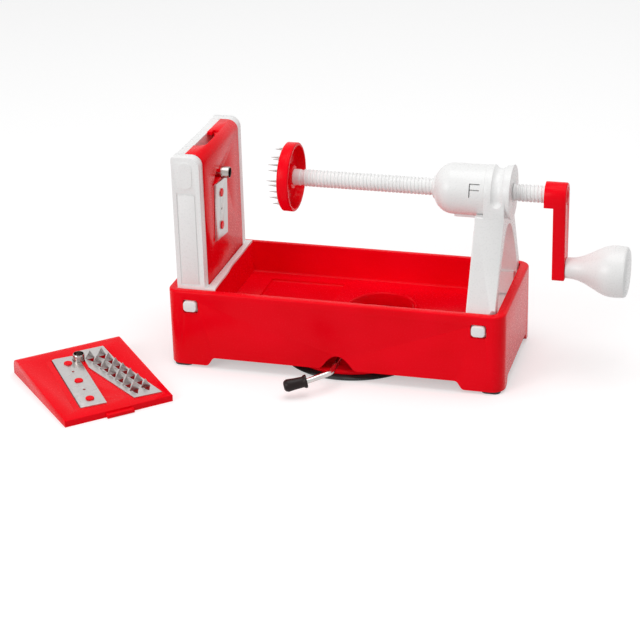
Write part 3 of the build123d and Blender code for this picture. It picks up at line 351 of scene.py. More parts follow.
# ---------------------------------------------------------------------------
# Installed cassette: red moulding with a steel knife held by two heads melted
# over it, and a thin steel tube that bores the core out of the vegetable.

def standing_frame(face_x, top_z):
    """Turns cassette places (across, down from the top edge, out of the face) into places in the holder."""
    return Matrix(((0, 0, 1, face_x), (1, 0, 0, 0), (0, -1, 0, top_z), (0, 0, 0, 1)))


def slot_land(name, frame_matrix, centre, width, length, bottom, gap):
    """Flat land beside a knife's cutting edge, which leaves only a narrow slot under the edge."""
    lean = radians(5.0)
    near_edge = -width / 2 - gap
    far_edge = -width / 2 - 4.55
    corners = []
    for across, along in (
        (far_edge, -length / 2), (near_edge, -length / 2), (near_edge, bottom), (far_edge, bottom),
    ):
        corners.append((
            centre[0] + across * cos(lean) - along * sin(lean),
            centre[1] + across * sin(lean) + along * cos(lean),
        ))
    mesh = bpy.data.meshes.new(name)
    shape = bmesh.new()
    rings = [[shape.verts.new(Vector((u, v, w)) * MM) for u, v in corners] for w in (-4.3, 0.0)]
    shape.faces.new(rings[0])
    shape.faces.new(rings[1])
    for k in range(4):
        shape.faces.new((rings[0][k], rings[0][(k + 1) % 4], rings[1][(k + 1) % 4], rings[1][k]))
    shape.transform(frame_matrix)
    bmesh.ops.recalc_face_normals(shape, faces=shape.faces)
    shape.to_mesh(mesh)
    shape.free()
    piece = bpy.data.objects.new(name, mesh)
    bpy.context.scene.collection.objects.link(piece)
    return piece


blade_steel = metal("blade_steel", (0.50, 0.48, 0.47), (0.62, 0.60, 0.59), 0.30, 240.0, (1, 1, 12), 0.00002)
dark_tube = metal("dark_tube", (0.30, 0.26, 0.24), (0.55, 0.52, 0.50), 0.14, 300.0, (1, 1, 1), 0.00001)
finish_piece(skin_of("cassette_shell", 0.35), red_plastic, "cassette", "red_plastic", "cassette_shell")
finish_piece(skin_of("cassette_blade", 0.12), blade_steel, "cassette", "blade_steel", "cassette_blade")
finish_piece(skin_of("coring_tube", 0.05), dark_tube, "cassette", "blade_steel", "coring_tube")
shell_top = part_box("cassette_shell")[1].z
cassette_face_x = -92.0 * MM
standing = standing_frame(cassette_face_x, shell_top)
land = slot_land("knife_slot_land", standing, (-7.2, 49.0), 25.0, 40.0, 19.0, 1.5)
finish_piece(land, red_plastic, "cassette", "red_plastic")


# ---------------------------------------------------------------------------
# Tower, bell and quick release: white mouldings. The tower's two legs carry a
# barrel; the bell snaps over its mouth and hides the sprung nut and its button.

def closed(piece):
    """Fills open ends, merges doubles and turns every face outwards."""
    shape = bmesh.new()
    shape.from_mesh(piece.data)
    bmesh.ops.remove_doubles(shape, verts=shape.verts, dist=0.000002)
    loose = [v for v in shape.verts if not v.link_faces]
    bmesh.ops.delete(shape, geom=loose, context="VERTS")
    bmesh.ops.holes_fill(shape, edges=[e for e in shape.edges if e.is_boundary])
    bmesh.ops.dissolve_degenerate(shape, dist=0.000001, edges=shape.edges)
    bmesh.ops.recalc_face_normals(shape, faces=shape.faces)
    shape.to_mesh(piece.data)
    shape.free()


def turned(name, profile, centre, axis="X", sides=64):
    """A lathe-turned piece from (along, radius) points in millimetres."""
    mesh = bpy.data.meshes.new(name)
    shape = bmesh.new()
    rings = []
    for along, radius in profile:
        if radius < 0.001:
            points = [(along, 0.0, 0.0)]
        else:
            angles = [2 * pi * k / sides for k in range(sides)]
            points = [(along, radius * cos(angle), radius * sin(angle)) for angle in angles]
        if axis == "Z":
            points = [(y, z, x) for x, y, z in points]
        rings.append([shape.verts.new((Vector(p) + Vector(centre)) * MM) for p in points])
    for near, far in zip(rings, rings[1:]):
        for k in range(sides):
            corner = [near[k % len(near)], near[(k + 1) % len(near)], far[(k + 1) % len(far)], far[k % len(far)]]
            unique = list(dict.fromkeys(corner))
            if len(unique) > 2:
                shape.faces.new(unique)
    bmesh.ops.recalc_face_normals(shape, faces=shape.faces)
    shape.to_mesh(mesh)
    shape.free()
    piece = bpy.data.objects.new(name, mesh)
    bpy.context.scene.collection.objects.link(piece)
    return piece


def arc_points(centre, radius, start, end, steps):
    """Points (along, radius) on a quarter round of a turned profile."""
    turns = [radians(start + (end - start) * k / steps) for k in range(steps + 1)]
    return [(centre[0] - radius * cos(a), centre[1] + radius * sin(a)) for a in turns]


def cut_block(piece, low, high):
    """Takes a square block out of a piece."""
    cutter_mesh = bpy.data.meshes.new("cutter")
    shape = bmesh.new()
    bmesh.ops.create_cube(shape, size=1.0)
    for vert in shape.verts:
        vert.co = Vector([(a + b) / 2 + v * (b - a) for a, b, v in zip(low, high, vert.co)]) * MM
    shape.to_mesh(cutter_mesh)
    shape.free()
    cutter = bpy.data.objects.new("cutter", cutter_mesh)
    bpy.context.scene.collection.objects.link(cutter)
    trim = piece.modifiers.new("cut", "BOOLEAN")
    trim.operation = "DIFFERENCE"
    trim.solver = "EXACT"
    trim.object = cutter
    seen = piece.evaluated_get(bpy.context.evaluated_depsgraph_get())
    mesh = bpy.data.meshes.new_from_object(seen)
    piece.modifiers.clear()
    piece.data = mesh
    bpy.data.objects.remove(cutter)


finish_piece(skin_of("tower", 0.8, 3), white_plastic, "base", "white_plastic", "tower")
nose, neck, bell_axis = 56.5, 92.0, 124.5
nose_round, nose_wall = 13.0, 2.2
nose_centre = (nose + nose_round, 4.0)
outer_arc = arc_points(nose_centre, nose_round, 18, 90, 14)
inner_arc = arc_points(nose_centre, nose_round - nose_wall, 90, 22, 10)
mouth_edge = [(neck - 0.3, 17.0), (neck, 16.7), (neck, 14.8)]
bell = turned("turned_bell", outer_arc + mouth_edge + inner_arc + outer_arc[:1], (0, 0, bell_axis), sides=128)
closed(bell)
cut_block(bell, (70.2, -5.8, 105.0), (88.8, 5.8, 124.5))
slit, slit_left, slit_right = 0.7, 82.1, 89.1
slit_outside, slit_inside = -18.0, -10.5
for low_edge in (8.4, 4.9):
    slit_low = bell_axis + low_edge
    cut_block(bell, (slit_left, slit_outside, slit_low), (slit_right, slit_inside, slit_low + slit))
cut_block(
    bell, (slit_left, slit_outside, bell_axis + 0.1), (slit_left + slit, slit_inside, bell_axis + 9.1),
)
finish_piece(bell, white_plastic, "base", "white_plastic", "bell_cover")
finish_piece(skin_of("nose_bush", 0.2), white_plastic, "base", "white_plastic", "nose_bush")
finish_piece(skin_of("release_nut", 0.3), white_plastic, "release", "white_plastic", "release_nut")
spring_steel = metal("spring_steel", (0.40, 0.40, 0.41), (0.55, 0.55, 0.56), 0.28, 500.0, (1, 1, 1), 0.00001)


def coil_tree(material):
    """Wire coil that stands on a place and is tipped about X; all its sizes are in metres."""
    real = "NodeSocketFloat"
    labels = [("Turns", real), ("Coil Radius", real), ("Wire Radius", real), ("Length", real),
              ("Place", "NodeSocketVector"), ("Tip", real)]
    tree, given, result = new_tree("coil spring", labels)
    size = given.outputs
    helix = wired(tree, "GeometryNodeCurveSpiral", {
        "Resolution": 28, "Rotations": size["Turns"], "Start Radius": size["Coil Radius"],
        "End Radius": size["Coil Radius"],
        "Height": maths(tree, "SUBTRACT", size["Length"], maths(tree, "MULTIPLY", size["Wire Radius"], 2.0)),
    })
    wire = wired(tree, "GeometryNodeCurvePrimitiveCircle", {"Resolution": 10, "Radius": size["Wire Radius"]})
    body = wired(tree, "GeometryNodeCurveToMesh", {
        "Curve": helix.outputs[0], "Profile Curve": wire.outputs[0], "Fill Caps": True,
    })
    lift = wired(tree, "ShaderNodeCombineXYZ", {"Z": size["Wire Radius"]})
    raised = wired(tree, "GeometryNodeTransform", {"Geometry": body.outputs[0], "Translation": lift.outputs[0]})
    lean = wired(tree, "ShaderNodeCombineXYZ", {"X": size["Tip"]})
    placed = wired(tree, "GeometryNodeTransform", {
        "Geometry": raised.outputs[0], "Rotation": lean.outputs[0], "Translation": size["Place"],
    })
    return painted_end(tree, placed.outputs[0], material, result)


coil = coil_tree(spring_steel)
spring_low, spring_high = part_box("release_spring")
spring_height = spring_high.z - spring_low.z
release_spring = baked(grown("release_spring_coil", coil, {
    "Turns": 4.0, "Coil Radius": 2.75 * MM, "Wire Radius": 0.32 * MM, "Length": spring_height - 0.00005,
    "Place": ((spring_low.x + spring_high.x) / 2, 0.0, spring_low.z + 0.00002), "Tip": 0.0,
}))
finish_piece(release_spring, spring_steel, "release", "spring_steel", "release_spring")
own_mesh(release_spring)


# ---------------------------------------------------------------------------
# Feed spindle: white plastic over a steel core, with a coarse rolled thread of
# 2.5 mm pitch from just behind the spiked disc to the crank.

def thread_tree(material):
    """Screw thread about X: a sheet of rows wound so that each row follows the helix."""
    real, whole = "NodeSocketFloat", "NodeSocketInt"
    labels = [("Start", real), ("End", real), ("Height", real), ("Pitch", real), ("Root", real), ("Crest", real)]
    tree, given, result = new_tree("screw thread", labels + [("Turns", whole), ("Sides", whole)])
    rows_per_turn = 8
    outputs = given.outputs
    rows = maths(tree, "ADD", maths(tree, "MULTIPLY", outputs["Turns"], rows_per_turn), 1.0)
    ring = maths(tree, "ADD", outputs["Sides"], 1.0)
    grid = wired(tree, "GeometryNodeMeshGrid", {
        "Vertices X": rows, "Vertices Y": ring, "Size X": 1.0, "Size Y": 1.0,
    })
    spot = wired(tree, "ShaderNodeSeparateXYZ", {0: wired(tree, "GeometryNodeInputPosition").outputs[0]})
    along = maths(tree, "ADD", spot.outputs["X"], 0.5)
    around = maths(tree, "ADD", spot.outputs["Y"], 0.5)
    row = maths(tree, "ROUND", maths(tree, "MULTIPLY", along, maths(tree, "SUBTRACT", rows, 1.0)))
    step = maths(tree, "MODULO", row, float(rows_per_turn))
    turn = maths(tree, "FLOOR", maths(tree, "DIVIDE", row, float(rows_per_turn)))
    shares = (0.0, 0.16, 0.25, 0.33, 0.42, 0.78, 0.87, 0.95)
    heights = (0.0, 0.0, 0.35, 0.85, 1.0, 1.0, 0.85, 0.35)
    chosen = []
    for values in (shares, heights):
        pick = tree.nodes.new("GeometryNodeIndexSwitch")
        pick.data_type = "FLOAT"
        while len(pick.index_switch_items) < rows_per_turn:
            pick.index_switch_items.new()
        tree.links.new(step, pick.inputs["Index"])
        for k, value in enumerate(values):
            pick.inputs[k + 1].default_value = value
        chosen.append(pick.outputs[0])
    wound = maths(tree, "ADD", maths(tree, "ADD", turn, chosen[0]), around)
    place = maths(tree, "ADD", outputs["Start"], maths(tree, "MULTIPLY", wound, outputs["Pitch"]))
    place = maths(tree, "MINIMUM", place, outputs["End"])
    tall = maths(tree, "MULTIPLY", chosen[1], maths(tree, "SUBTRACT", outputs["Crest"], outputs["Root"]))
    radius = maths(tree, "ADD", outputs["Root"], tall)
    angle = maths(tree, "MULTIPLY", around, 2 * pi)
    y = maths(tree, "MULTIPLY", radius, maths(tree, "COSINE", angle))
    z = maths(tree, "ADD", outputs["Height"], maths(tree, "MULTIPLY", radius, maths(tree, "SINE", angle)))
    point = wired(tree, "ShaderNodeCombineXYZ", {"X": place, "Y": y, "Z": z})
    moved = wired(tree, "GeometryNodeSetPosition", {
        "Geometry": grid.outputs["Mesh"], "Position": point.outputs[0],
    })
    sealed = wired(tree, "GeometryNodeMergeByDistance", {"Geometry": moved.outputs[0], "Distance": 0.000002})
    return painted_end(tree, sealed.outputs[0], material, result)


def joined(name, *parts):
    """Several meshes as one piece."""
    mesh = bpy.data.meshes.new(name)
    shape = bmesh.new()
    for part in parts:
        shape.from_mesh(part.data)
        bpy.data.objects.remove(part)
    shape.to_mesh(mesh)
    shape.free()
    piece = bpy.data.objects.new(name, mesh)
    bpy.context.scene.collection.objects.link(piece)
    return piece


spindle_low, spindle_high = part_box("spindle")
axis_height = (spindle_low.z + spindle_high.z) / 2
crest = (spindle_high.z - spindle_low.z) / 2
thread_depth = 0.8
thread_start = spindle_low.x + 10.8 * MM
thread_end = spindle_high.x - 1.5 * MM
pitch = 2.5 * MM
thread_sizes = {
    "Start": thread_start, "End": thread_end, "Height": axis_height, "Pitch": pitch,
    "Root": crest - thread_depth * MM, "Crest": crest,
    "Turns": int((thread_end - thread_start) / pitch) + 1, "Sides": 56,
}
thread = baked(grown("thread", thread_tree(white_plastic), thread_sizes))
closed(thread)
left, right = spindle_low.x / MM, spindle_high.x / MM
root = crest / MM - thread_depth
core = turned(
    "spindle_core_body",
    [(left, 2.1), (left, 4.55), (left + 4.8, 4.55), (left + 4.8, 5.2), (left + 5.1, 5.5), (left + 9.6, 5.5),
     (left + 10.1, root + 0.1), (right - 1.0, root + 0.1), (right, root - 0.6), (right, 2.1), (left, 2.1)],
    (0, 0, axis_height / MM),
)
finish_piece(joined("threaded_spindle", thread, core), white_plastic, "spindle_body", "white_plastic", "spindle")
finish_piece(skin_of("spindle_core", 0.2), plated_steel, "feed", "plated_steel", "spindle_core")


# ---------------------------------------------------------------------------
# Spiked disc: a red cup on the spindle's end whose flat face carries two rings
# of pointed steel pins, the longer ones on red cones, which grip the vegetable.

finish_piece(skin_of("spiked_disc", 0.3), red_plastic, "spindle_body", "red_plastic", "spiked_disc")
dark_needle = metal("dark_needle", (0.20, 0.17, 0.16), (0.42, 0.38, 0.36), 0.30, 500.0, (14, 1, 1), 0.00002)


def needle_ring_tree(material):
    """A ring of sharp pins about the X axis, points to the left."""
    real = "NodeSocketFloat"
    labels = [("Count", "NodeSocketInt"), ("Circle", real), ("Start Angle", real), ("Face", real), ("Height", real),
              ("Length", real), ("Straight", real), ("Radius", real), ("Sink", real)]
    tree, given, result = new_tree("ring of needles", labels)
    size = given.outputs
    stem = wired(tree, "GeometryNodeMeshCylinder", {
        "Vertices": 14, "Radius": size["Radius"], "Depth": maths(tree, "ADD", size["Straight"], size["Sink"]),
    })
    middle = maths(tree, "MULTIPLY", maths(tree, "SUBTRACT", size["Straight"], size["Sink"]), 0.5)
    stem_place = wired(tree, "ShaderNodeCombineXYZ", {"Z": middle})
    stem_set = wired(tree, "GeometryNodeTransform", {"Geometry": stem.outputs["Mesh"], "Translation": stem_place.outputs[0]})
    point = wired(tree, "GeometryNodeMeshCone", {
        "Vertices": 14, "Radius Bottom": size["Radius"], "Radius Top": 0.00006,
        "Depth": maths(tree, "SUBTRACT", size["Length"], size["Straight"]),
    })
    point_place = wired(tree, "ShaderNodeCombineXYZ", {"Z": size["Straight"]})
    point_set = wired(tree, "GeometryNodeTransform", {"Geometry": point.outputs["Mesh"], "Translation": point_place.outputs[0]})
    needle = tree.nodes.new("GeometryNodeJoinGeometry")
    tree.links.new(stem_set.outputs[0], needle.inputs[0])
    tree.links.new(point_set.outputs[0], needle.inputs[0])
    ring = wired(tree, "GeometryNodeMeshCircle", {"Vertices": size["Count"], "Radius": size["Circle"]})
    spin = wired(tree, "ShaderNodeCombineXYZ", {"Z": size["Start Angle"]})
    feet = wired(tree, "GeometryNodeTransform", {"Geometry": ring.outputs["Mesh"], "Rotation": spin.outputs[0]})
    needles = wired(tree, "GeometryNodeInstanceOnPoints", {"Points": feet.outputs[0], "Instance": needle.outputs[0]})
    spot = wired(tree, "ShaderNodeCombineXYZ", {"X": size["Face"], "Z": size["Height"]})
    stood = wired(tree, "GeometryNodeTransform", {"Geometry": needles.outputs[0], "Translation": spot.outputs[0]})
    stood.inputs["Rotation"].default_value = (0, -pi / 2, 0)
    return painted_end(tree, stood.outputs[0], material, result)


disc_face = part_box("spiked_disc")[0].x + 3.0 * MM
needle_tree = needle_ring_tree(dark_needle)
needle_rings = []
for count, circle, start, length, straight in ((12, 19.0, 0, 7.0, 0.8), (6, 11.0, 30, 10.5, 3.0)):
    needle_rings.append(baked(grown("needle_ring", needle_tree, {
        "Count": count, "Circle": circle * MM, "Start Angle": radians(start), "Face": disc_face,
        "Height": axis_height, "Length": length * MM, "Straight": straight * MM, "Radius": 0.75 * MM, "Sink": 1.1 * MM,
    })))
finish_piece(joined("disc_needles", *needle_rings), dark_needle, "spindle_body", "blade_steel", "disc_pins")


# ---------------------------------------------------------------------------
# Crank: red arm with its hub on the spindle, a white bell-shaped knob that
# spins on a steel pin, and the plugs that cover both fixings.

arm = skin_of("crank_arm", 0.5)
arm_foot = min(vert.co.z for vert in arm.data.vertices)
for vert in arm.data.vertices:
    if vert.co.z < arm_foot + 3.2 * MM:
        vert.co.z += 1.8 * MM
finish_piece(arm, red_plastic, "spindle_body", "red_plastic", "crank_arm")
finish_piece(skin_of("crank_cap", 0.15), red_plastic, "spindle_body", "red_plastic", "crank_cap")
finish_piece(skin_of("knob_pin", 0.1), plated_steel, "spindle_body", "plated_steel", "knob_pin")


def eased(points, steps):
    """Smooth curve through the given (along, radius) points."""
    smooth = []
    for k in range(len(points) - 1):
        before, near = points[max(k - 1, 0)], points[k]
        far, after = points[k + 1], points[min(k + 2, len(points) - 1)]
        for step in range(steps):
            t = step / steps
            smooth.append(tuple(
                0.5 * (2 * b + (c - a) * t + (2 * a - 5 * b + 4 * c - d) * t * t + (3 * b - a - 3 * c + d) * t ** 3)
                for a, b, c, d in zip(before, near, far, after)
            ))
    return smooth + [points[-1]]


knob_low, knob_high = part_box("crank_knob")
knob_axis = (0, 0, (knob_low.z + knob_high.z) / MM / 2)
knob_start, knob_end = knob_low.x / MM, knob_high.x / MM
flare = ((0.0, 0.0), (0.15, 0.05), (0.3, 0.22), (0.45, 0.5), (0.6, 0.8), (0.72, 0.95), (0.85, 1.0), (1.0, 0.97))
side = eased([(knob_start + (knob_end - knob_start) * t, 6.9 + 10.4 * g) for t, g in flare], 6)
knob = turned(
    "turned_knob",
    side + [(knob_end, 15.1), (knob_end - 8.4, 7.6), (knob_end - 8.4, 3.1), (knob_start, 3.1), (knob_start, 6.9)],
    knob_axis, sides=128,
)
closed(knob)
finish_piece(knob, white_plastic, "knob", "white_plastic", "crank_knob")
cap_low, cap_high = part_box("knob_cap")
cap_start, cap_end = cap_low.x / MM, cap_high.x / MM
crown = [(cap_start + 0.6, 16.9), (cap_start + 1.4, 16.2), (cap_start + 2.0, 15.0), (cap_start + 2.5, 13.0)]
crown += [(cap_end - 0.12, 8.0), (cap_end, 0.0)]
end_disc = turned("turned_end_disc", [(cap_start, 0.0), (cap_start, 16.8)] + eased(crown, 4), knob_axis, sides=128)
closed(end_disc)
finish_piece(end_disc, white_plastic, "knob", "white_plastic", "knob_cap")


# ---------------------------------------------------------------------------
# Latch buttons: four white sprung buttons in the base walls that hold the two
# uprights down, each with its coil spring behind it.

def latch_cap(node, side):
    """Button with a domed face and well-rounded corners, on the square shoulder that keeps it in the wall."""
    low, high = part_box(node)
    centre = (low + high) / MM / 2
    outer, inner = (low.y, high.y) if side < 0 else (high.y, low.y)
    outer, inner = outer / MM, inner / MM
    shoulder_face = inner + side * 6.0

    def rounded(half_x, half_z, corner, y, steps=6):
        points = []
        for quarter, (sx, sz) in enumerate(((1, 1), (-1, 1), (-1, -1), (1, -1))):
            for k in range(steps + 1):
                angle = pi / 2 * (quarter + k / steps)
                points.append((
                    centre.x + sx * (half_x - corner) + corner * cos(angle), y,
                    centre.z + sz * (half_z - corner) + corner * sin(angle),
                ))
        return points

    shape = bmesh.new()
    face = outer - side * 0.5
    profile = [
        (6.0, 6.0, 0.6, inner), (6.0, 6.0, 0.6, shoulder_face), (4.6, 3.75, 2.4, shoulder_face),
        (4.6, 3.75, 2.4, face - side * 0.9), (4.5, 3.65, 2.35, face - side * 0.45),
        (4.2, 3.35, 2.2, face - side * 0.12),
        (3.6, 2.8, 1.9, face), (1.6, 1.2, 0.8, face + side * 0.1),
    ]
    rings = [[shape.verts.new(Vector(p) * MM) for p in rounded(*row)] for row in profile]
    for near, far in zip(rings, rings[1:]):
        for k in range(len(near)):
            shape.faces.new((near[k], near[(k + 1) % len(near)], far[(k + 1) % len(far)], far[k]))
    shape.faces.new(rings[0])
    shape.faces.new(rings[-1])
    bmesh.ops.recalc_face_normals(shape, faces=shape.faces)
    mesh = bpy.data.meshes.new(node + "_cap")
    shape.to_mesh(mesh)
    shape.free()
    piece = bpy.data.objects.new(node + "_cap", mesh)
    bpy.context.scene.collection.objects.link(piece)
    return piece


for wall in ("front", "back"):
    for end in ("left", "right"):
        node = f"latch_button_{wall}_{end}"
        cap = latch_cap(node, -1 if wall == "front" else 1)
        finish_piece(cap, white_plastic, f"button_{wall}_{end}", "white_plastic", node)
        spring_node = f"latch_spring_{wall}_{end}"
        spring_low, spring_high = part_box(spring_node)
        inward = 1 if wall == "front" else -1
        seat = spring_low.y if wall == "front" else spring_high.y
        spring = baked(grown(spring_node + "_coil", coil, {
            "Turns": 5.0, "Coil Radius": 2.5 * MM, "Wire Radius": 0.3 * MM, "Length": 5.6 * MM,
            "Place": ((spring_low.x + spring_high.x) / 2, seat, (spring_low.z + spring_high.z) / 2),
            "Tip": -inward * pi / 2,
        }))
        finish_piece(spring, spring_steel, f"button_{wall}_{end}", "spring_steel", spring_node)
        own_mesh(spring)


# ---------------------------------------------------------------------------
# Spare cassette: the same red moulding with a narrow knife and a toothed plate
# that cuts the ribbon into strands, lying face up on the table.

finish_piece(skin_of("spare_shell", 0.35), red_plastic, "spare_cassette", "red_plastic", "spare_shell")
finish_piece(skin_of("spare_blade", 0.12), blade_steel, "spare_cassette", "blade_steel", "spare_blade")
finish_piece(skin_of("spare_coring_tube", 0.05), dark_tube, "spare_cassette", "blade_steel", "spare_coring_tube")


def lying_frame(centre, turn, flange, plate, height):
    """Turns cassette places into places on the table, face up and tipped on its cheeks."""
    tilt = atan2(flange - plate, height - 3.0)
    across = Vector((cos(turn), sin(turn), 0))
    uphill = Vector((-sin(turn), cos(turn), 0))
    out = Vector((0, 0, cos(tilt))) - uphill * sin(tilt)
    top = Vector((*centre, 0)) + uphill * (height / 2 * cos(tilt))
    top += Vector((0, 0, flange * cos(tilt) + 3.0 * sin(tilt)))
    down = -out.cross(across)
    matrix = Matrix((across, down, out)).transposed().to_4x4()
    return Matrix.Translation(top * MM) @ matrix


def tooth_tree(material):
    """Plate blank with rows of triangular teeth cut on two sides and bent upright."""
    real, place = "NodeSocketFloat", "NodeSocketVector"
    labels = [("Blank", "NodeSocketGeometry"), ("Count", "NodeSocketInt"), ("Step", place), ("First Row", place),
              ("Second Row", place), ("Width", real), ("Rise", real), ("Thickness", real)]
    tree, given, result = new_tree("bent teeth", labels)
    size = given.outputs
    wedge = wired(tree, "GeometryNodeMeshCylinder", {"Vertices": 3, "Radius": 1.0, "Depth": 1.0})
    pointed = wired(tree, "GeometryNodeTransform", {"Geometry": wedge.outputs["Mesh"]})
    pointed.inputs["Rotation"].default_value = (0, 0, pi / 2)
    wide = maths(tree, "DIVIDE", size["Width"], 1.7321)
    tall = maths(tree, "DIVIDE", size["Rise"], 1.5)
    third = maths(tree, "DIVIDE", size["Rise"], 3.0)
    hole_scale = wired(tree, "ShaderNodeCombineXYZ", {"X": wide, "Y": tall, "Z": 0.01})
    hole_place = wired(tree, "ShaderNodeCombineXYZ", {"Y": third})
    hole = wired(tree, "GeometryNodeTransform", {
        "Geometry": pointed.outputs[0], "Scale": hole_scale.outputs[0], "Translation": hole_place.outputs[0],
    })
    tooth_scale = wired(tree, "ShaderNodeCombineXYZ", {"X": wide, "Y": tall, "Z": size["Thickness"]})
    tooth_flat = wired(tree, "GeometryNodeTransform", {
        "Geometry": pointed.outputs[0], "Scale": tooth_scale.outputs[0],
    })
    tooth_place = wired(tree, "ShaderNodeCombineXYZ", {"Z": third})
    tooth = wired(tree, "GeometryNodeTransform", {
        "Geometry": tooth_flat.outputs[0], "Translation": tooth_place.outputs[0],
    })
    tooth.inputs["Rotation"].default_value = (pi / 2, 0, 0)
    feet = tree.nodes.new("GeometryNodeJoinGeometry")
    for start in ("First Row", "Second Row"):
        row = wired(tree, "GeometryNodeMeshLine", {
            "Count": size["Count"], "Start Location": size[start], "Offset": size["Step"],
        })
        tree.links.new(row.outputs["Mesh"], feet.inputs[0])
    solid = []
    for shape in (hole, tooth):
        copies = wired(tree, "GeometryNodeInstanceOnPoints", {
            "Points": feet.outputs[0], "Instance": shape.outputs[0],
        })
        solid.append(wired(tree, "GeometryNodeRealizeInstances", {0: copies.outputs[0]}).outputs[0])
    cut = wired(tree, "GeometryNodeMeshBoolean", {"Mesh 1": size["Blank"]}, operation="DIFFERENCE", solver="EXACT")
    tree.links.new(solid[0], cut.inputs["Mesh 2"])
    whole = tree.nodes.new("GeometryNodeJoinGeometry")
    tree.links.new(cut.outputs["Mesh"], whole.inputs[0])
    tree.links.new(solid[1], whole.inputs[0])
    return painted_end(tree, whole.outputs[0], material, result)


lying = lying_frame((-158.5, -96.0), radians(43.2), 12.5, 4.5, 96.0)
outline = ((5.2, 13.8), (22.1, 14.3), (22.4, 34.5), (33.0, 89.6), (13.6, 88.6), (2.0, 38.4))
toothed = grown("toothed_plate", tooth_tree(blade_steel), {
    "Count": 7, "Step": (1.68 * MM, 8.75 * MM, 0.0), "First Row": (7.6 * MM, 26.2 * MM, 0.0004),
    "Second Row": (16.1 * MM, 25.8 * MM, 0.0004), "Width": 6.8 * MM, "Rise": 6.4 * MM, "Thickness": 0.6 * MM,
})
blank = bmesh.new()
layers = [[blank.verts.new((u * MM, v * MM, w)) for u, v in outline] for w in (0.0, 0.0008)]
for layer in layers:
    blank.faces.new(layer)
for k in range(len(outline)):
    k_next = (k + 1) % len(outline)
    blank.faces.new((layers[0][k], layers[0][k_next], layers[1][k_next], layers[1][k]))
bmesh.ops.recalc_face_normals(blank, faces=blank.faces)
blank.to_mesh(toothed.data)
blank.free()
baked(toothed)
toothed.data.transform(lying)
closed(toothed)
finish_piece(toothed, blade_steel, "spare_cassette", "blade_steel", "spare_tooth_plate")
land = slot_land("spare_slot_land", lying, (-10.8, 52.0), 17.6, 68.0, 33.0, 0.5)
finish_piece(land, red_plastic, "spare_cassette", "red_plastic")


# ---------------------------------------------------------------------------
# Table, light and camera. A plain white sheet under soft overhead boxes; the
# camera stands to the right, looking down at the front wall.

def white_for_camera(name, colour, glow):
    """Matt white that lifts towards pure white where the camera or a mirror sees it."""
    material = bpy.data.materials.new(name)
    nodes, links, shader = node_tree(material)
    shader.inputs["Base Color"].default_value = (*colour, 1)
    shader.inputs["Roughness"].default_value = 0.9
    shader.inputs["Specular IOR Level"].default_value = 0.1
    path = nodes.new("ShaderNodeLightPath")
    either = nodes.new("ShaderNodeMath")
    either.operation = "MAXIMUM"
    links.new(path.outputs["Is Camera Ray"], either.inputs[0])
    links.new(path.outputs["Is Glossy Ray"], either.inputs[1])
    any_view = nodes.new("ShaderNodeMath")
    any_view.operation = "MAXIMUM"
    links.new(either.outputs[0], any_view.inputs[0])
    links.new(path.outputs["Is Transmission Ray"], any_view.inputs[1])
    lift = nodes.new("ShaderNodeMath")
    lift.operation = "MULTIPLY"
    lift.inputs[1].default_value = glow
    links.new(any_view.outputs[0], lift.inputs[0])
    shader.inputs["Emission Color"].default_value = (1, 1, 1, 1)
    links.new(lift.outputs[0], shader.inputs["Emission Strength"])
    return material


table_mesh = bpy.data.meshes.new("table")
reach = 4.0
table_corners = [(-reach, -reach, 0), (reach, -reach, 0), (reach, reach, 0), (-reach, reach, 0)]
table_mesh.from_pydata(table_corners, [], [(0, 1, 2, 3)])
table = bpy.data.objects.new("table", table_mesh)
bpy.context.scene.collection.objects.link(table)
table_mesh.materials.append(white_for_camera("table_white", (0.66, 0.66, 0.66), 0.44))

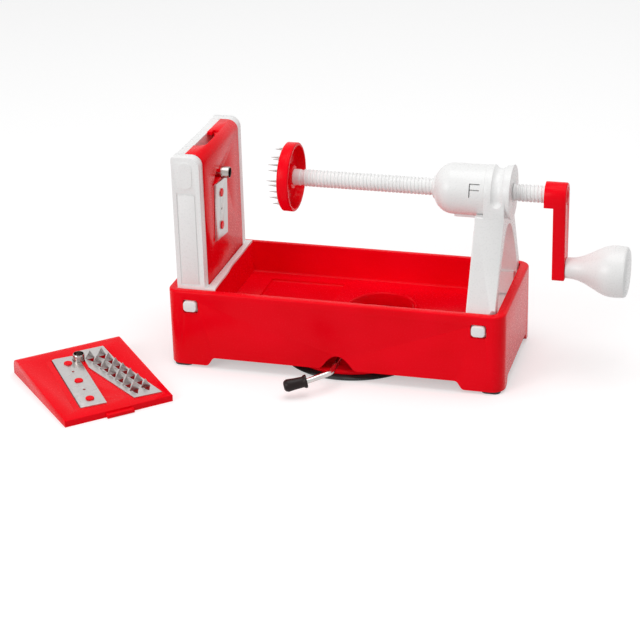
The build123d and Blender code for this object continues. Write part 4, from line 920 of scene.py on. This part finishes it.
world = bpy.data.worlds.new("studio")
bpy.context.scene.world = world
world.use_nodes = True
sky = world.node_tree
backdrop = sky.nodes["Background"]
backdrop.inputs["Color"].default_value = (1, 1, 1, 1)
path = sky.nodes.new("ShaderNodeLightPath")
straight = sky.nodes.new("ShaderNodeMath")
straight.operation = "MAXIMUM"
mirrored = sky.nodes.new("ShaderNodeMath")
mirrored.operation = "MAXIMUM"
sky.links.new(path.outputs["Is Camera Ray"], straight.inputs[0])
sky.links.new(path.outputs["Is Glossy Ray"], straight.inputs[1])
sky.links.new(straight.outputs[0], mirrored.inputs[0])
sky.links.new(path.outputs["Is Transmission Ray"], mirrored.inputs[1])
seen = sky.nodes.new("ShaderNodeMapRange")
seen.inputs["To Min"].default_value = 0.48
seen.inputs["To Max"].default_value = 1.0
sky.links.new(mirrored.outputs[0], seen.inputs["Value"])
sky.links.new(seen.outputs["Result"], backdrop.inputs["Strength"])


def soft_box(name, place, aim, size, power):
    """A large square studio light pointed at a spot."""
    lamp = bpy.data.lights.new(name, "AREA")
    lamp.shape = "RECTANGLE"
    lamp.size, lamp.size_y = size
    lamp.energy = power
    stand = bpy.data.objects.new(name, lamp)
    stand.location = place
    stand.rotation_euler = (Vector(aim) - Vector(place)).to_track_quat("-Z", "Y").to_euler()
    bpy.context.scene.collection.objects.link(stand)


soft_box("overhead", (0.1, -0.1, 1.5), (0, 0, 0), (1.2, 1.2), 10.0)
soft_box("front_left", (-1.0, -1.5, 0.8), (0, 0, 0.06), (0.9, 0.9), 11.0)

photo_focal = 1978.9
photo_width = 640.0
azimuth, elevation, roll = radians(15.943), radians(23.832), radians(-1.541)
eye = Vector((0.3200, -1.2094, 0.5758))
forward = Vector((-sin(azimuth) * cos(elevation), cos(azimuth) * cos(elevation), -sin(elevation)))
level = Vector((cos(azimuth), sin(azimuth), 0))
upright = level.cross(forward)
right_hand = level * cos(roll) + upright * sin(roll)
overhead = upright * cos(roll) - level * sin(roll)
lens = bpy.data.cameras.new("camera")
lens.sensor_width = 36.0
lens.lens = photo_focal / photo_width * lens.sensor_width
lens.clip_start, lens.clip_end = 0.05, 20.0
camera = bpy.data.objects.new("camera", lens)
turn = Matrix((right_hand, overhead, -forward)).transposed().to_4x4()
camera.matrix_world = Matrix.Translation(eye) @ turn
bpy.context.scene.collection.objects.link(camera)
bpy.context.scene.camera = camera
bpy.context.scene.view_settings.view_transform = "Standard"
